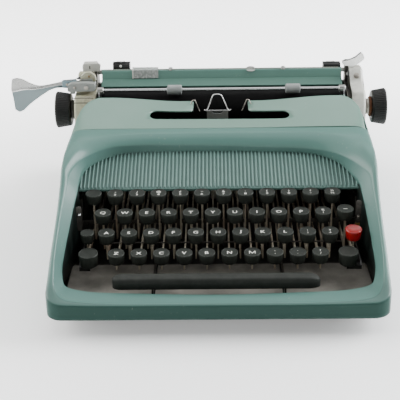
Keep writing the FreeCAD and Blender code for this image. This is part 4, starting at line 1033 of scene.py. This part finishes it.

# things seen between the keys: the comb bar and loose linkage
g = Geo()
block(g, -122, 122, -61.6, -60.4, 41.4, 45.0, 0, r=.3)
prism(g, [(-112.0, 47.2), (-112.0, 48.2, .3), (-111.1, 48.2, .3), (-111.1, 47.2)], "x", -102, 104, 0)
build("comb_top_bar", g, ["dark_steel", "steel"], "housing", bevel=.3)
g = Geo()
# right-hand bracket behind the tall key, with a dark disc on it painted for its hole (painted shade), and its lower
# tongue
prism(g, [(119.0, 52, 1.6), (123.8, 52, 1.6), (123.8, 73, 2), (119.0, 73, 2)], "y", -84.5, -83.3, 0)
prism(g, [(118.5, 40, 1), (123.3, 40, 1), (123.3, 52), (118.5, 52)], "y", -84.7, -83.1, 1)
# dark disc on the bracket face: painted shade standing for the hole
lathe(g, [(1.6, 0), (1.6, .4), (0, .4)], (121.4, -84.9, 67), (0, -1, 0), 20, 2)
lathe(g, [(0, -.2), (1.5, -.2), (1.9, .3), (1.6, 1.0), (0, 1.2)], (121.4, -84.5, 57.5), (0, -1, 0), 20, 3)
build("side_bracket_right", g, ["dark_steel", "brass", "well_dark", "steel"], "housing", bevel=.25)
g = Geo()
prism(g, [(-124.3, 46, 2), (-119.5, 46, 2), (-119.5, 70, 2), (-124.3, 70, 2)], "y", -85.5, -84.5, 0)
lathe(g, [(0, -.2), (1.5, -.2), (1.8, .3), (1.4, 1.1), (0, 1.3)], (-121.8, -86, 62), (0, -1, 0), 20, 1)
build("side_bracket_left", g, ["dark_steel", "chrome"], "housing", bevel=.25)

# ribbon spools with wound ribbon
for nm, sx in (("left", -92.0), ("right", 92.0)):
    g = Geo()
    lathe(g, [(3.1, 63), (23.2, 63), (24, 63.4), (24, 63.9), (23.2, 64.3), (17.2, 64.4)], (sx, 22, 0), (0, 0, 1), 56, 0)
    lathe(g, [(17.2, 64.4), (17.5, 66), (17.4, 71), (17.6, 77), (17.2, 78.8)], (sx, 22, 0), (0, 0, 1), 56, 1)
    lathe(g, [(17.2, 78.8), (23.2, 78.9), (24, 79.2), (24, 79.7), (23.2, 80), (9, 80), (8, 79.4), (5.4, 79.4), (5.0, 80), (3.1, 80), (3.1, 63)], (sx, 22, 0), (0, 0, 1), 56, 0)
    build("spool_%s_drum" % nm, g, ["steel", "ribbon_ink"], "spool_" + nm, angle=40, replaces=["ribbon_spool_" + nm], wn=False)


# ------------------------------------------------------------------ carriage
CY, CZ = 83.0, 99.0
# platen: hard black rubber with fine wear rings
g = Geo()
prof = [(0, -119)] + [(16.6, -119), (17.3, -118.7), (17.8, -118.0)] + [(17.98 + .02 * math.sin(h * 1.3), h) for h in np.linspace(-117, 117, 79)] + [(17.8, 118.0), (17.3, 118.7), (16.6, 119), (0, 119)]
lathe(g, prof, (4, CY, CZ), (1, 0, 0), 72, 0)
lathe(g, [(0, -119.6), (9, -119.6), (9.6, -119.2), (9.6, -118.9)], (4, CY, CZ), (1, 0, 0), 32, 1)
lathe(g, [(9.6, 118.9), (9.6, 119.2), (9, 119.6), (0, 119.6)], (4, CY, CZ), (1, 0, 0), 32, 1)
build("platen_rubber", g, ["rubber", "steel"], "platen", angle=40, replaces=["platen_roller"], wn=False)

# knobs: finely fluted cones with a recessed end and a metal hub
g = Geo()
NF = 54


def flute(amount):
    return lambda t, i: 1 + amount[i] * (abs(math.cos(t * NF / 2)) ** .8 - .5)


for s, h0, h1 in ((1, 149.8, 164.0), (-1, 150.6, 165.8)):
    R1, R0 = 18.1, 16.1
    pr = [(7.6, h0 + .5), (R0 - 1.6, h0), (R0 - .5, h0 + .3), (R0, h0 + 1.2)]
    am = [0, 0, .004, .02]
    for t in np.linspace(.1, .9, 7):
        pr.append((R0 + (R1 - R0) * t, h0 + 1.2 + (h1 - h0 - 3.0) * t))
        am.append(.018)
    pr += [(R1, h1 - 1.8), (R1 - .1, h1 - .9), (R1 - .9, h1 - .1), (R1 - 2.2, h1), (14.2, h1), (13.6, h1 - .5), (13.2, h1 - 1.8), (8.0, h1 - 2.0), (7.6, h1 - 1.2), (6.2, h1 - .6), (0, h1 - .6)]
    am += [.02, .008, 0] + [0] * 8
    lathe(g, pr, (4, CY, CZ), (s, 0, 0), NF * 8, 0, flute=flute(am))
    lathe(g, [(0, h1 - 1.0), (4.6, h1 - 1.0), (5.0, h1 - .6), (4.2, h1 - .2), (0, h1 - .1)], (4, CY, CZ), (s, 0, 0), 28, 2)
    # hub and shaft between knob and end cover
    lathe(g, [(4.0, 119.4), (4.0, 143.5), (7.3, 144.2), (7.8, 145.0), (7.8, 147.2), (9.6, 147.8), (9.6, h0 - .3), (8.0, h0 + .6)], (4, CY, CZ), (s, 0, 0), 40, 1 if s < 0 else 2)
    if s > 0:
        lathe(g, [(8.0, 147.3), (9.9, 147.7), (10.2, 148.6), (9.6, h0 + .2)], (4, CY, CZ), (s, 0, 0), 40, 3)
build("knob_pieces", g, ["knob_plastic", "dark_steel", "steel", "rust"], "platen", angle=50, replaces=["platen_knobs"], wn=False)

# carriage frame: end plates, base channel, margin rail with its teeth, card guides in front of the platen
g = Geo()
PL = [(69, 76), (69, 100, 3), (76, 112, 3), (92, 115, 3), (103, 122, 4), (108, 138.5, 2), (117, 138.5, 2), (117, 76)]
PR = [(69, 76), (69, 100, 3), (76, 112, 3), (92, 115, 3), (109.6, 117.5, 2), (110.6, 138.5, 1), (117, 138.5, 2), (117, 76)]
prism(g, PL, "x", -125.0, -121.5, 1)
prism(g, PR, "x", 129.5, 133.0, 1)
block(g, -133, 141, 70.2, 117, 73, 76, 1, r=1.5)
block(g, -132, 140, 72, 74.5, 67.5, 73.2, 1)
block(g, -132, 140, 93.5, 96, 67.5, 73.2, 1)
block(g, -121.5, 129.5, 111, 114.5, 126.4, 130.0, 3)
block(g, -121.5, 129.5, 112, 113.6, 76, 116, 2)
block(g, -121.5, 129.5, 111.8, 116.6, 113, 116.5, 2, r=.8)
lathe(g, [(3.45, 110), (3.45, 126.4), (6.0, 126.5), (6.2, 127.2), (5.6, 128.3), (4.4, 128.6), (0, 128.7)], (-136, 94, 0), (0, 0, 1), 36, 5)
block(g, -140, -124.5, 90, 98, 108, 111.8, 1, r=1)
lathe(g, [(0, 0), (2.0, 0), (2.0, 6.9), (0, 6.9)], (-131.2, 109, 121.5), (1, 0, 0), 20, 5)
lathe(g, [(0, 0), (2.0, 0), (2.0, 7.3), (0, 7.3)], (131.1, 109, 124.5), (1, 0, 0), 20, 5)
prism(g, [(106.8, 112), (106.8, 124.5, 2.1), (111.2, 124.5, 2.1), (111.2, 112)], "x", 129.5, 133.0, 1)
build("carriage_body", g, ["steel", "dark_steel", "grey_paint", "alloy", "black_enamel", "chrome"], "carriage", bevel=.35, lim=40, replaces=["carriage_frame"])

# margin rail rack teeth along the top
g = Geo()
for x in np.arange(-118.5, 127, 2.54):
    prism(g, [(111.2, 129.8), (111.2, 130.8, .3), (114.3, 130.8, .3), (114.3, 129.8)], "x", x, x + 1.3, 0)
build("margin_rack", g, ["alloy"], "carriage", angle=30)

# card guides: dark plates either side of the throat, in front of the platen
g = Geo()
for x0, x1 in ((-96, -13), (22, 121)):
    rows = []
    for t in np.linspace(0, 1, 12):
        a = math.radians(196 + 52 * t)
        rows.append([(x, CY + 19.6 * math.cos(a), CZ + 19.6 * math.sin(a)) for x in np.linspace(x0, x1, 14)])
    loft(g, rows, 0)
build("card_guides", g, ["black_enamel"], "carriage", angle=40, solid=.7, wn=False)

# end covers: pressed shells with rounded outer edges
CL = [(64, 79), (64, 104, 4), (71, 116, 4), (104, 118, 5), (110, 128, 3), (121, 128, 3), (121, 79, 3)]
CR = [(64, 79, 2), (64, 105, 4), (71, 118, 5), (90, 122, 8), (99.5, 133.2, 5), (114, 133.2, 6), (121, 126, 6), (121, 79, 3)]


def end_shell(g, pts, x_in, x_out, mat, r=2.2):
    """Outline swept from the open inner side to the closed outer face, with a rounded edge."""
    ol = np.array(rounded(pts, True, 7))
    cen = ol.mean(0)
    nrm = []
    n = len(ol)
    area = sum(ol[i][0] * ol[(i + 1) % n][1] - ol[(i + 1) % n][0] * ol[i][1] for i in range(n))
    for i in range(n):
        t = ol[(i + 1) % n] - ol[i - 1]
        t /= np.linalg.norm(t)
        nrm.append(np.array([t[1], -t[0]]) * (1 if area > 0 else -1))
    nrm = np.array(nrm)
    s = 1 if x_out > x_in else -1
    rows = []
    for d, h in [(0, x_in), (0, x_out - s * r)] + [(r * (1 - math.cos(a)), x_out - s * r * (1 - math.sin(a))) for a in np.linspace(.2, math.pi / 2, 7)]:
        rows.append([(h, *(p - q * d)) for p, q in zip(ol, nrm)])
    rim = [(x_out, *(p - q * r * 1.6)) for p, q in zip(ol, nrm)]
    rows.append(rim)
    inn = [[(x_out - s * 1.6, *(p - q * (r * 1.6 + .2))) for p, q in zip(ol, nrm)], [(x_out - s * 3.0, *(p - q * 1.6)) for p, q in zip(ol, nrm)], [(x_in, *(p - q * 1.6)) for p, q in zip(ol, nrm)]]
    loft(g, rows, mat, close_u=True)
    g.add(rim, [tuple(range(n))], mat)
    loft(g, inn, mat, close_u=True)
    g.add(inn[0], [tuple(range(n))], mat)
    loft(g, [rows[0], inn[-1]], mat, close_u=True)


g = Geo()
end_shell(g, CL, -121.3, -142.2, 0)
for z in (117.4, 112.4):
    block(g, -141.8, -122, 63.6, 64.4, z - .35, z + .35, 2)
build("end_cover_left", g, ["beige_paint", "cream_paint", "well_dark"], "carriage", angle=42, replaces=["carriage_end_covers"], wn=False)
g = Geo()
end_shell(g, CR, 133.2, 146.8, 0, r=3.6)
build("end_cover_right", g, ["cream_paint"], "carriage", angle=42, replaces=["carriage_end_covers"], wn=False)
g = Geo()
lathe(g, [(0, 0), (2.6, 0), (3.0, .3), (2.8, 1.1), (1.6, 1.5), (0, 1.6)], (140, 94.6, 127.3), (0, -.76, .65), 28, 0)
lathe(g, [(0, 0), (1.7, 0), (2.0, .5), (0, .8)], (139.5, 63.9, 100), (0, -1, 0), 24, 0)
lathe(g, [(0, 0), (1.7, 0), (2.0, .5), (0, .8)], (-134.5, 63.9, 90), (0, -1, 0), 24, 0)
build("carriage_screws", g, ["steel"], "carriage", angle=40, wn=False)

# left end: pivot block of the return lever, pawl link and cream link plate
g = Geo()
prism(g, [(-148.8, 119.8, 1.6), (-148.8, 126.4, 2), (-144.5, 128.4, 2), (-128, 128.8, 1.5), (-121.4, 127.6, 2), (-121.4, 120.2, 1)], "y", 76, 82.6, 0)
prism(g, [(-137.5, 120.0), (-137.5, 128.0, 1), (-128, 128.4, 1.5), (-121.8, 127.2, 2), (-121.8, 120.2, 1)], "y", 82.0, 85.8, 0)
prism(g, [(-128.5, 120.0), (-128.5, 128.0, 1), (-121.8, 127.2, 2), (-121.8, 120.2, 1)], "y", 85.6, 92, 0)
prism(g, [(-146.5, 119.9), (-146.5, 117.2, 1), (-141.6, 117.2, 1), (-141.6, 119.9)], "y", 77, 82.4, 0)
prism(g, [(-136.8, 127.4, 1), (-136.2, 132.5, 1), (-131.5, 136.4, 2), (-126.2, 136.8, 1), (-121.6, 133.0, 2), (-120.8, 127.4, 1)], "y", 85.0, 90.0, 1)
prism(g, [(-135.5, 128.0, .6), (-135.5, 130.4, .6), (-124.5, 130.4, .6), (-124.5, 128.0, .6)], "y", 83.4, 85.4, 0)
lathe(g, [(0, 0), (1.3, 0), (1.5, .3), (1.1, 1.0), (0, 1.1)], (-127.6, 85.0, 133.0), (0, -1, 0), 20, 3)
lathe(g, [(0, 0), (2.2, 0), (2.5, .4), (2.2, 1.2), (0, 1.3)], (-130, 76, 123.8), (0, -1, 0), 24, 2)
lathe(g, [(0, 0), (1.4, 0), (1.6, .3), (0, .8)], (-141.5, 76, 124.2), (0, -1, 0), 20, 2)
build("pivot_block", g, ["grey_paint", "beige_paint", "steel", "brass"], "carriage", bevel=.4, lim=40)

# paper table: two painted bands along the machine with a fine-toothed upper edge
g = Geo()
TB = [(90, 118.7), (101.4, 123.6, 1.2), (104, 131.0, 1), (106.6, 131.8), (106.6, 133.1), (103, 132.4, 1), (100.2, 124.9, 1), (89.6, 120.3)]
tb = rounded(TB, True, 4)
rows = [[(x, a, b) for a, b in tb] for x in np.linspace(-116.6, 125.4, 24)]
loft(g, rows, 0, close_u=True, cap=True)
for x in (-90, 0, 90):
    prism(g, [(102.2, 114), (112, 114), (112, 116), (103.6, 116), (103.6, 127), (102.2, 122.8)], "x", x, x + 8, 2)
build("paper_table_sheet", g, ["green_light", "green_dark", "dark_steel"], "carriage", bevel=.25, lim=50, replaces=["paper_table"])
o = bpy.data.objects["paper_table_sheet"]
for p in o.data.polygons:
    if p.center[1] > .1006 and p.material_index == 0:
        p.material_index = 1
g = Geo()
for x in np.arange(-112, 123, 1.6):
    prism(g, [(104.2, 132.5), (104.4, 133.5, .2), (105.4, 133.7, .2), (105.6, 132.8)], "x", x, x + .8, 0)
for x in (-47, 66.7):
    lathe(g, [(0, 0), (2.2, 0), (2.4, .4), (2.0, 1.9), (1.2, 2.4), (0, 2.5)], (x, 105.0, 132.6), (0, -.25, 1), 26, 1)
lathe(g, [(0, 0), (5.0, 0), (5.0, .2), (4.4, .45), (0, .5)], (34, 105.2, 132.4), (0, -.25, 1), 26, 1)
build("paper_scale", g, ["steel", "alloy"], "carriage", angle=35, wn=False)

# paper guide, margin stops
g = Geo()
prism(g, [(99.6, 125.4), (101.9, 133.4, 1), (107.5, 134.8), (107.5, 133.6), (102.8, 132.6, .8), (100.6, 125.2)], "x", -84.4, -59.6, 0)
prism(g, [(99.4, 125.2), (101.7, 133.6, 1), (107.6, 135.0), (107.6, 133.5), (102.8, 132.5, .8), (100.8, 125.0)], "x", -86.0, -84.3, 1)
build("paper_guide_piece", g, ["guide_grey", "cream_paint"], "paper_guide", bevel=.2, lim=45, replaces=["paper_guide"])
for nm, x0, x1, dot, zt in (("left", -106.0, -88.6, True, 138.2), ("right", 107.6, 125.2, False, 136.0)):
    g = Geo()
    prism(g, [(108.4, 125.4, .6), (108.4, zt - 1.0, 1.4), (110, zt, 1), (117, zt, 1.4), (118.5, zt - 1.6, 1.2), (118.5, 125.4, .6), (114.8, 125.4), (114.8, 131.4), (110.7, 131.4), (110.7, 125.4)], "x", x0, x1, 0)
    for k in range(6):
        block(g, x0 + 4.2 + k * 1.4, x0 + 4.8 + k * 1.4, 110.5, 117, zt - .3, zt + .6, 0)
    if dot:
        lathe(g, [(0, 0), (1.3, 0), (1.4, .15), (0, .3)], ((x0 + x1) / 2 - .6, 108.4, zt - 2.4), (0, -1, 0), 24, 1)
    if dot:
        # the corner nearest the line space lever is cut back, so the two pass at both limits
        for i_, (vx, vy, vz) in enumerate(g.v):
            if vx < -105.9 and vy < 110.0:
                g.v[i_] = (vx, vy + 1.3, vz)
    build("margin_stop_%s_piece" % nm, g, ["black_enamel", "legend"], "margin_stop_" + nm, bevel=.25, lim=45, replaces=["margin_stop_" + nm])

# paper bail
g = Geo()
tube(g, [(x, 74.4, 121.6) for x in np.linspace(-117.8 - 1.2, 127, 12)], 1.5, n=20, mat=0)
for s_, x_ in ((-1, -117.6), (1, 124.8)):
    lathe(g, [(1.4, -3.2), (3.2, -3.2), (3.6, -2.8), (3.6, 2.8), (3.2, 3.2), (1.4, 3.2)], (x_ - s_ * 1.8, 74.4, 121.2), (1, 0, 0), 28, 2)
ARM = [(67.4, 95), (68.4, 112), (71.5, 123, 2.5), (77.0, 123, 2.5), (76.5, 117.5, 2), (74.2, 112), (73.6, 96), (73.6, 88.9, 3.0), (67.4, 88.9, 3.0)]
prism(g, ARM, "x", -117.8, -116.2, 0)
prism(g, ARM, "x", 124.2, 125.8, 0)
for s in (-1, 1):
    lathe(g, [(0, 0), (1.8, 0), (1.8, 3.6), (0, 3.6)], (4 + s * 125.3 - (3.6 if s > 0 else 0), 70.5, 92), (1, 0, 0), 20, 0)
for x in (-49.2, 67.6):
    lathe(g, [(1.6, -.6), (2.6, -.6), (2.6, 0), (4.1, 0), (4.6, .3), (4.8, .9)] + [(4.8 - .12 * (k % 2), 1.4 + k * .85) for k in range(14)] + [(4.8, 13.1), (4.6, 13.7), (4.1, 14), (2.6, 14), (2.6, 14.6), (1.6, 14.6)],
          (x, 74.4, 121.6), (1, 0, 0), 32, 1)
build("bail_piece", g, ["chrome", "roller_rubber", "alloy"], "paper_bail", angle=40, replaces=["paper_bail"], wn=False)

# return lever: a pressed blade with a crease along it, its boss and link
g = Geo()
BL = rounded([(-208.2, 126.2, 1), (-206.4, 127.8, 1), (-201.7, 128.7, 5), (-196.0, 127.3), (-190.4, 124.2), (-184.0, 121.6), (-179.1, 120.6, 8), (-172.3, 121.6), (-160.4, 124.0),
              (-151.8, 126.3), (-145, 126.3), (-145, 119.0), (-152.7, 119.0), (-162.7, 118.7), (-169.6, 116.2), (-178.2, 110.6), (-185.3, 105.6), (-191.7, 100.5), (-197.3, 95.1, 2), (-202.1, 92.9, 2),
              (-206.4, 96.1, 2), (-207.7, 105.0, 4), (-207.4, 114.0), (-208.4, 120.1, 3)], True, 5)


def blade_y(x, z):
    """Front face of the blade: two facets that meet in a crease below its upper edge."""
    zc = np.interp(x, [-208, -196, -184, -172, -160, -145], [114.5, 117.0, 117.4, 119.4, 121.6, 122.6])
    d = z - zc
    return 92.3 + (0.16 * d if d > 0 else -0.045 * d) + .25 * math.exp(-(d / 1.2) ** 2) * -1


zs_of = {}
top = sorted([p for p in BL if p[1] >= np.interp(p[0], [-208, -196, -184, -172, -160, -145], [114.5, 117.0, 117.4, 119.4, 121.6, 122.6])])
bot = sorted([p for p in BL if p[1] < np.interp(p[0], [-208, -196, -184, -172, -160, -145], [114.5, 117.0, 117.4, 119.4, 121.6, 122.6])])
tx, tz = np.array([p[0] for p in top]), np.array([p[1] for p in top])
bx, bz = np.array([p[0] for p in bot]), np.array([p[1] for p in bot])
front, back = [], []
for x in np.linspace(-208.25, -145.0, 60):
    z1 = float(np.interp(x, tx, tz))
    z0 = float(np.interp(x, bx, bz))
    if x < -207.4:
        k = max(.25, (x + 208.4) / 1.0)
        z1 = 118 + (z1 - 118) * k
        z0 = 118 + (z0 - 118) * k * .4 if x < -207.9 else 118 + (z0 - 118) * .75
    zc = min(max(float(np.interp(x, [-208, -196, -184, -172, -160, -145], [114.5, 117.0, 117.4, 119.4, 121.6, 122.6])), z0 + .4), z1 - .4)
    zz = np.concatenate([np.linspace(z0, zc, 10), np.linspace(zc, z1, 8)[1:]])
    front.append([(x, blade_y(x, z), z) for z in zz])
    back.append([(x, blade_y(x, z) + 1.7, z) for z in zz])
ringrows = []
for f_, b_ in zip(front, back):
    ringrows.append(f_ + b_[::-1])
loft(g, ringrows, 0, close_u=True, cap=True)
# the lower facet below the crease gets the darker, bluish copy of the blade metal: painted shade
blade_faces = len(g.f)
for k_, f_ in enumerate(g.f):
    zc_ = np.mean([g.v[i_][2] for i_ in f_])
    xc_ = np.mean([g.v[i_][0] for i_ in f_])
    if zc_ < np.interp(xc_, [-208, -196, -184, -172, -160, -145], [114.5, 117.0, 117.4, 119.4, 121.6, 122.6]):
        g.m[k_] = 3
lathe(g, [(3.55, 119.0), (8.4, 119.0), (9.0, 119.5), (9.0, 125.7), (8.4, 126.3), (3.55, 126.3), (3.55, 119.0)], (-136, 94, 0), (0, 0, 1), 40, 1)
prism(g, [(-156, 90.6, 1), (-152, 89.6, 1), (-144, 89.6), (-144, 98.4), (-153, 96.4, 1), (-156, 95.4, 1)], "z", 119.4, 126.0, 1)
lathe(g, [(0, 0), (1.5, 0), (1.7, .4), (0, .9)], (-150.5, 89.9, 122.6), (0, -1, 0), 20, 2)
build("return_lever_blade", g, ["blade_metal", "blue_grey", "steel", "blade_shaded_facet"], "return_lever", bevel=.3, lim=45, replaces=["return_lever"])

# paper release lever: curved fin
g = Geo()
FIN = [(133.4, 124.5), (133.4, 134.5, .8), (128.4, 134.9, 1.5), (126.3, 136.9, 1.0), (126.5, 139.3, .8), (130.6, 140.0, 4), (135.4, 141.4, 6), (140.0, 143.7, 6), (143.0, 146.5, 3), (144.9, 147.9, .6), (147.3, 146.0, 2), (148.6, 141.8, 2), (145.5, 138.9, 4), (142.0, 136.2, 4), (138.2, 134.4, 1.5), (138.0, 124.5)]
prism(g, FIN, "y", 104.4, 108.6, 0)
lathe(g, [(2.06, 0), (4.6, 0), (5.0, .4), (5.0, 4.2), (4.6, 4.6), (2.06, 4.6), (2.06, 0)], (133.4, 109, 124.5), (1, 0, 0), 30, 0)
build("release_fin", g, ["blade_metal"], "paper_release_lever", bevel=.8, seg=3, lim=40, replaces=["paper_release_lever"])

# line space lever
g = Geo()
prism(g, [(-136.0, 131.8, 1), (-136.4, 137.6, 1), (-134.8, 140.2, 1.5), (-119.4, 140.4, 1.2), (-117.6, 138.6, 1), (-118.6, 131.8, 1)], "y", 103.7, 105.4, 0)
prism(g, [(-136.0, 131.8, 1), (-136.4, 137.6, 1), (-134.8, 140.2, 1.5), (-121.6, 140.4, .3), (-121.4, 138.6, .3), (-121.4, 131.8, .3)], "y", 105.0, 112.0, 0)
block(g, -129.6, -128.0, 103.3, 104.4, 134.6, 138.2, 1)
prism(g, [(106.5, 120.5), (106.5, 131), (111.5, 131), (111.5, 120.5)], "x", -130.2, -126.0, 0)
lathe(g, [(2.06, 0), (3.6, 0), (4.0, .3), (4.0, 3.9), (3.6, 4.2), (2.06, 4.2), (2.06, 0)], (-130.2, 109, 121.5), (1, 0, 0), 28, 0)
build("line_space_piece", g, ["cream_paint", "well_dark"], "line_space_lever", bevel=.4, lim=40, replaces=["line_space_lever"])

# green patch of corrosion on the key plate, and two screws
g = Geo()
pts = []
cx, cy = 79.5, -151.0
ringp = []
for k in range(18):
    a = 2 * math.pi * k / 18
    r = 3.4 * (1 + .18 * math.sin(3 * a + 1) + .12 * math.sin(5 * a))
    ringp.append((cx + r * math.cos(a) * 1.2, cy + r * math.sin(a)))
rows = [[(x, y, 18.45) for x, y in ringp], [(cx + (x - cx) * .9, cy + (y - cy) * .9, 18.8) for x, y in ringp], [(cx + (x - cx) * .5, cy + (y - cy) * .5, 19.0) for x, y in ringp]]
loft(g, rows, 0, close_u=True)
g.add(rows[-1], [tuple(range(18))], 0)
g.add(rows[0], [tuple(range(17, -1, -1))], 0)
lathe(g, [(0, 0), (2.2, 0), (2.4, .3), (1.8, .9), (0, 1.1)], (-104, -150, 18.5), (0, 0, 1), 24, 1)
lathe(g, [(0, 0), (2.2, 0), (2.4, .3), (1.8, .9), (0, 1.1)], (104, -150, 18.5), (0, 0, 1), 24, 1)
build("plate_details", g, ["verdigris", "steel"], "housing", angle=40, wn=False)


# ------------------------------------------------------------------ floor, light, camera
def cam_matrix():
    el, yw, rl = math.radians(25), math.radians(1.02), math.radians(-.97)
    R0 = np.array([[1, 0, 0], [0, 0, -1], [0, 1, 0]], float)
    c, s = math.cos(yw), math.sin(yw)
    Rz = np.array([[c, s, 0], [-s, c, 0], [0, 0, 1]])
    c, s = math.cos(el), math.sin(el)
    Rx = np.array([[1, 0, 0], [0, c, -s], [0, s, c]])
    c, s = math.cos(rl), math.sin(rl)
    Rr = np.array([[c, -s, 0], [s, c, 0], [0, 0, 1]])
    return Rr @ Rx @ R0 @ Rz


Rc = cam_matrix()
cd = bpy.data.cameras.new("camera")
cd.lens = 997.0 / 400 * 36
cd.sensor_width = 36
cd.clip_end = 20
cam = bpy.data.objects.new("camera", cd)
scene.collection.objects.link(cam)
X, Y, Z = Rc[0], -Rc[1], -Rc[2]
cam.matrix_world = Matrix(((X[0], Y[0], Z[0], -2.2 * MM), (X[1], Y[1], Z[1], -866.4 * MM), (X[2], Y[2], Z[2], 439.5 * MM), (0, 0, 0, 1)))
scene.camera = cam

fm = bpy.data.meshes.new("floor")
n = 40
vs, fs = [], []
prof = [(y, 0.0) for y in np.linspace(-3, 3, 13)]
for y, z in prof:
    for x in np.linspace(-3, 3, 7):
        vs.append((x, y, z))
for i in range(len(prof) - 1):
    for j in range(6):
        a = i * 7 + j
        fs.append((a, a + 1, a + 8, a + 7))
fm.from_pydata(vs, [], fs)
fm.polygons.foreach_set("use_smooth", [True] * len(fm.polygons))
mt = bpy.data.materials.new("floor")
mt.use_nodes = True
b = mt.node_tree.nodes["Principled BSDF"]
b.inputs["Base Color"].default_value = (.86, .86, .855, 1)
b.inputs["Roughness"].default_value = .7
b.inputs["Emission Color"].default_value = (1, 1, 1, 1)
ft = mt.node_tree
# the floor glows, and its glow is turned down near the machine: a painted soft shadow round it, brighter further out
ftc, fgr, fmr = ft.nodes.new("ShaderNodeTexCoord"), ft.nodes.new("ShaderNodeVectorMath"), ft.nodes.new("ShaderNodeMapRange")
fgr.operation = "LENGTH"
ft.links.new(ftc.outputs["Object"], fgr.inputs[0])
ft.links.new(fgr.outputs["Value"], fmr.inputs["Value"])
fmr.interpolation_type = "SMOOTHSTEP"
fmr.inputs["From Min"].default_value = .18
fmr.inputs["From Max"].default_value = .62
fmr.inputs["To Min"].default_value = .32
fmr.inputs["To Max"].default_value = 2.1
ft.links.new(fmr.outputs["Result"], b.inputs["Emission Strength"])
fm.materials.append(mt)
floor = bpy.data.objects.new("floor", fm)
scene.collection.objects.link(floor)

w = bpy.data.worlds.new("studio")
w.use_nodes = True
bg = w.node_tree.nodes["Background"]
wt = w.node_tree
tcw = wt.nodes.new("ShaderNodeTexCoord")
sx = wt.nodes.new("ShaderNodeSeparateXYZ")
rw = wt.nodes.new("ShaderNodeValToRGB")
wt.links.new(tcw.outputs["Generated"], sx.inputs[0])
wt.links.new(sx.outputs["Z"], rw.inputs["Fac"])
wt.links.new(rw.outputs["Color"], bg.inputs["Color"])
el = rw.color_ramp.elements
el[0].position, el[0].color = 0.0, (.62, .62, .62, 1)
el[1].position, el[1].color = 1.0, (.5, .52, .54, 1)
for p_, c_ in ((.10, .50), (.24, .10), (.72, .12)):
    e_ = el.new(p_)
    e_.color = (c_, c_ * 1.01, c_ * 1.03, 1)
bg.inputs["Strength"].default_value = 1.0
scene.world = w


def lamp(name, loc, aim, size, power, col=(1, 1, 1)):
    ld = bpy.data.lights.new(name, "AREA")
    ld.shape = "RECTANGLE"
    ld.size, ld.size_y = size
    ld.energy = power
    ld.color = col
    o = bpy.data.objects.new(name, ld)
    scene.collection.objects.link(o)
    d = (Vector(aim) - Vector(loc)).normalized()
    o.rotation_euler = d.to_track_quat("-Z", "Y").to_euler()
    o.location = loc
    return o


lamp("top", (0.0, 0.15, 1.45), (0, 0.0, .05), (2.4, 1.5), 19)
lamp("back", (0.0, 1.15, 1.20), (0, 0.0, .10), (2.0, .5), 8)
lamp("front", (0.0, -1.35, .85), (0, 0.0, .05), (1.9, .6), 3.5)
lamp("left", (-1.25, .15, .60), (0, 0, .08), (1.2, 1.1), 40, (1, 1, .99))
lamp("right", (1.3, .30, .70), (0, 0, .08), (.9, 1.0), 62, (.96, .98, 1))
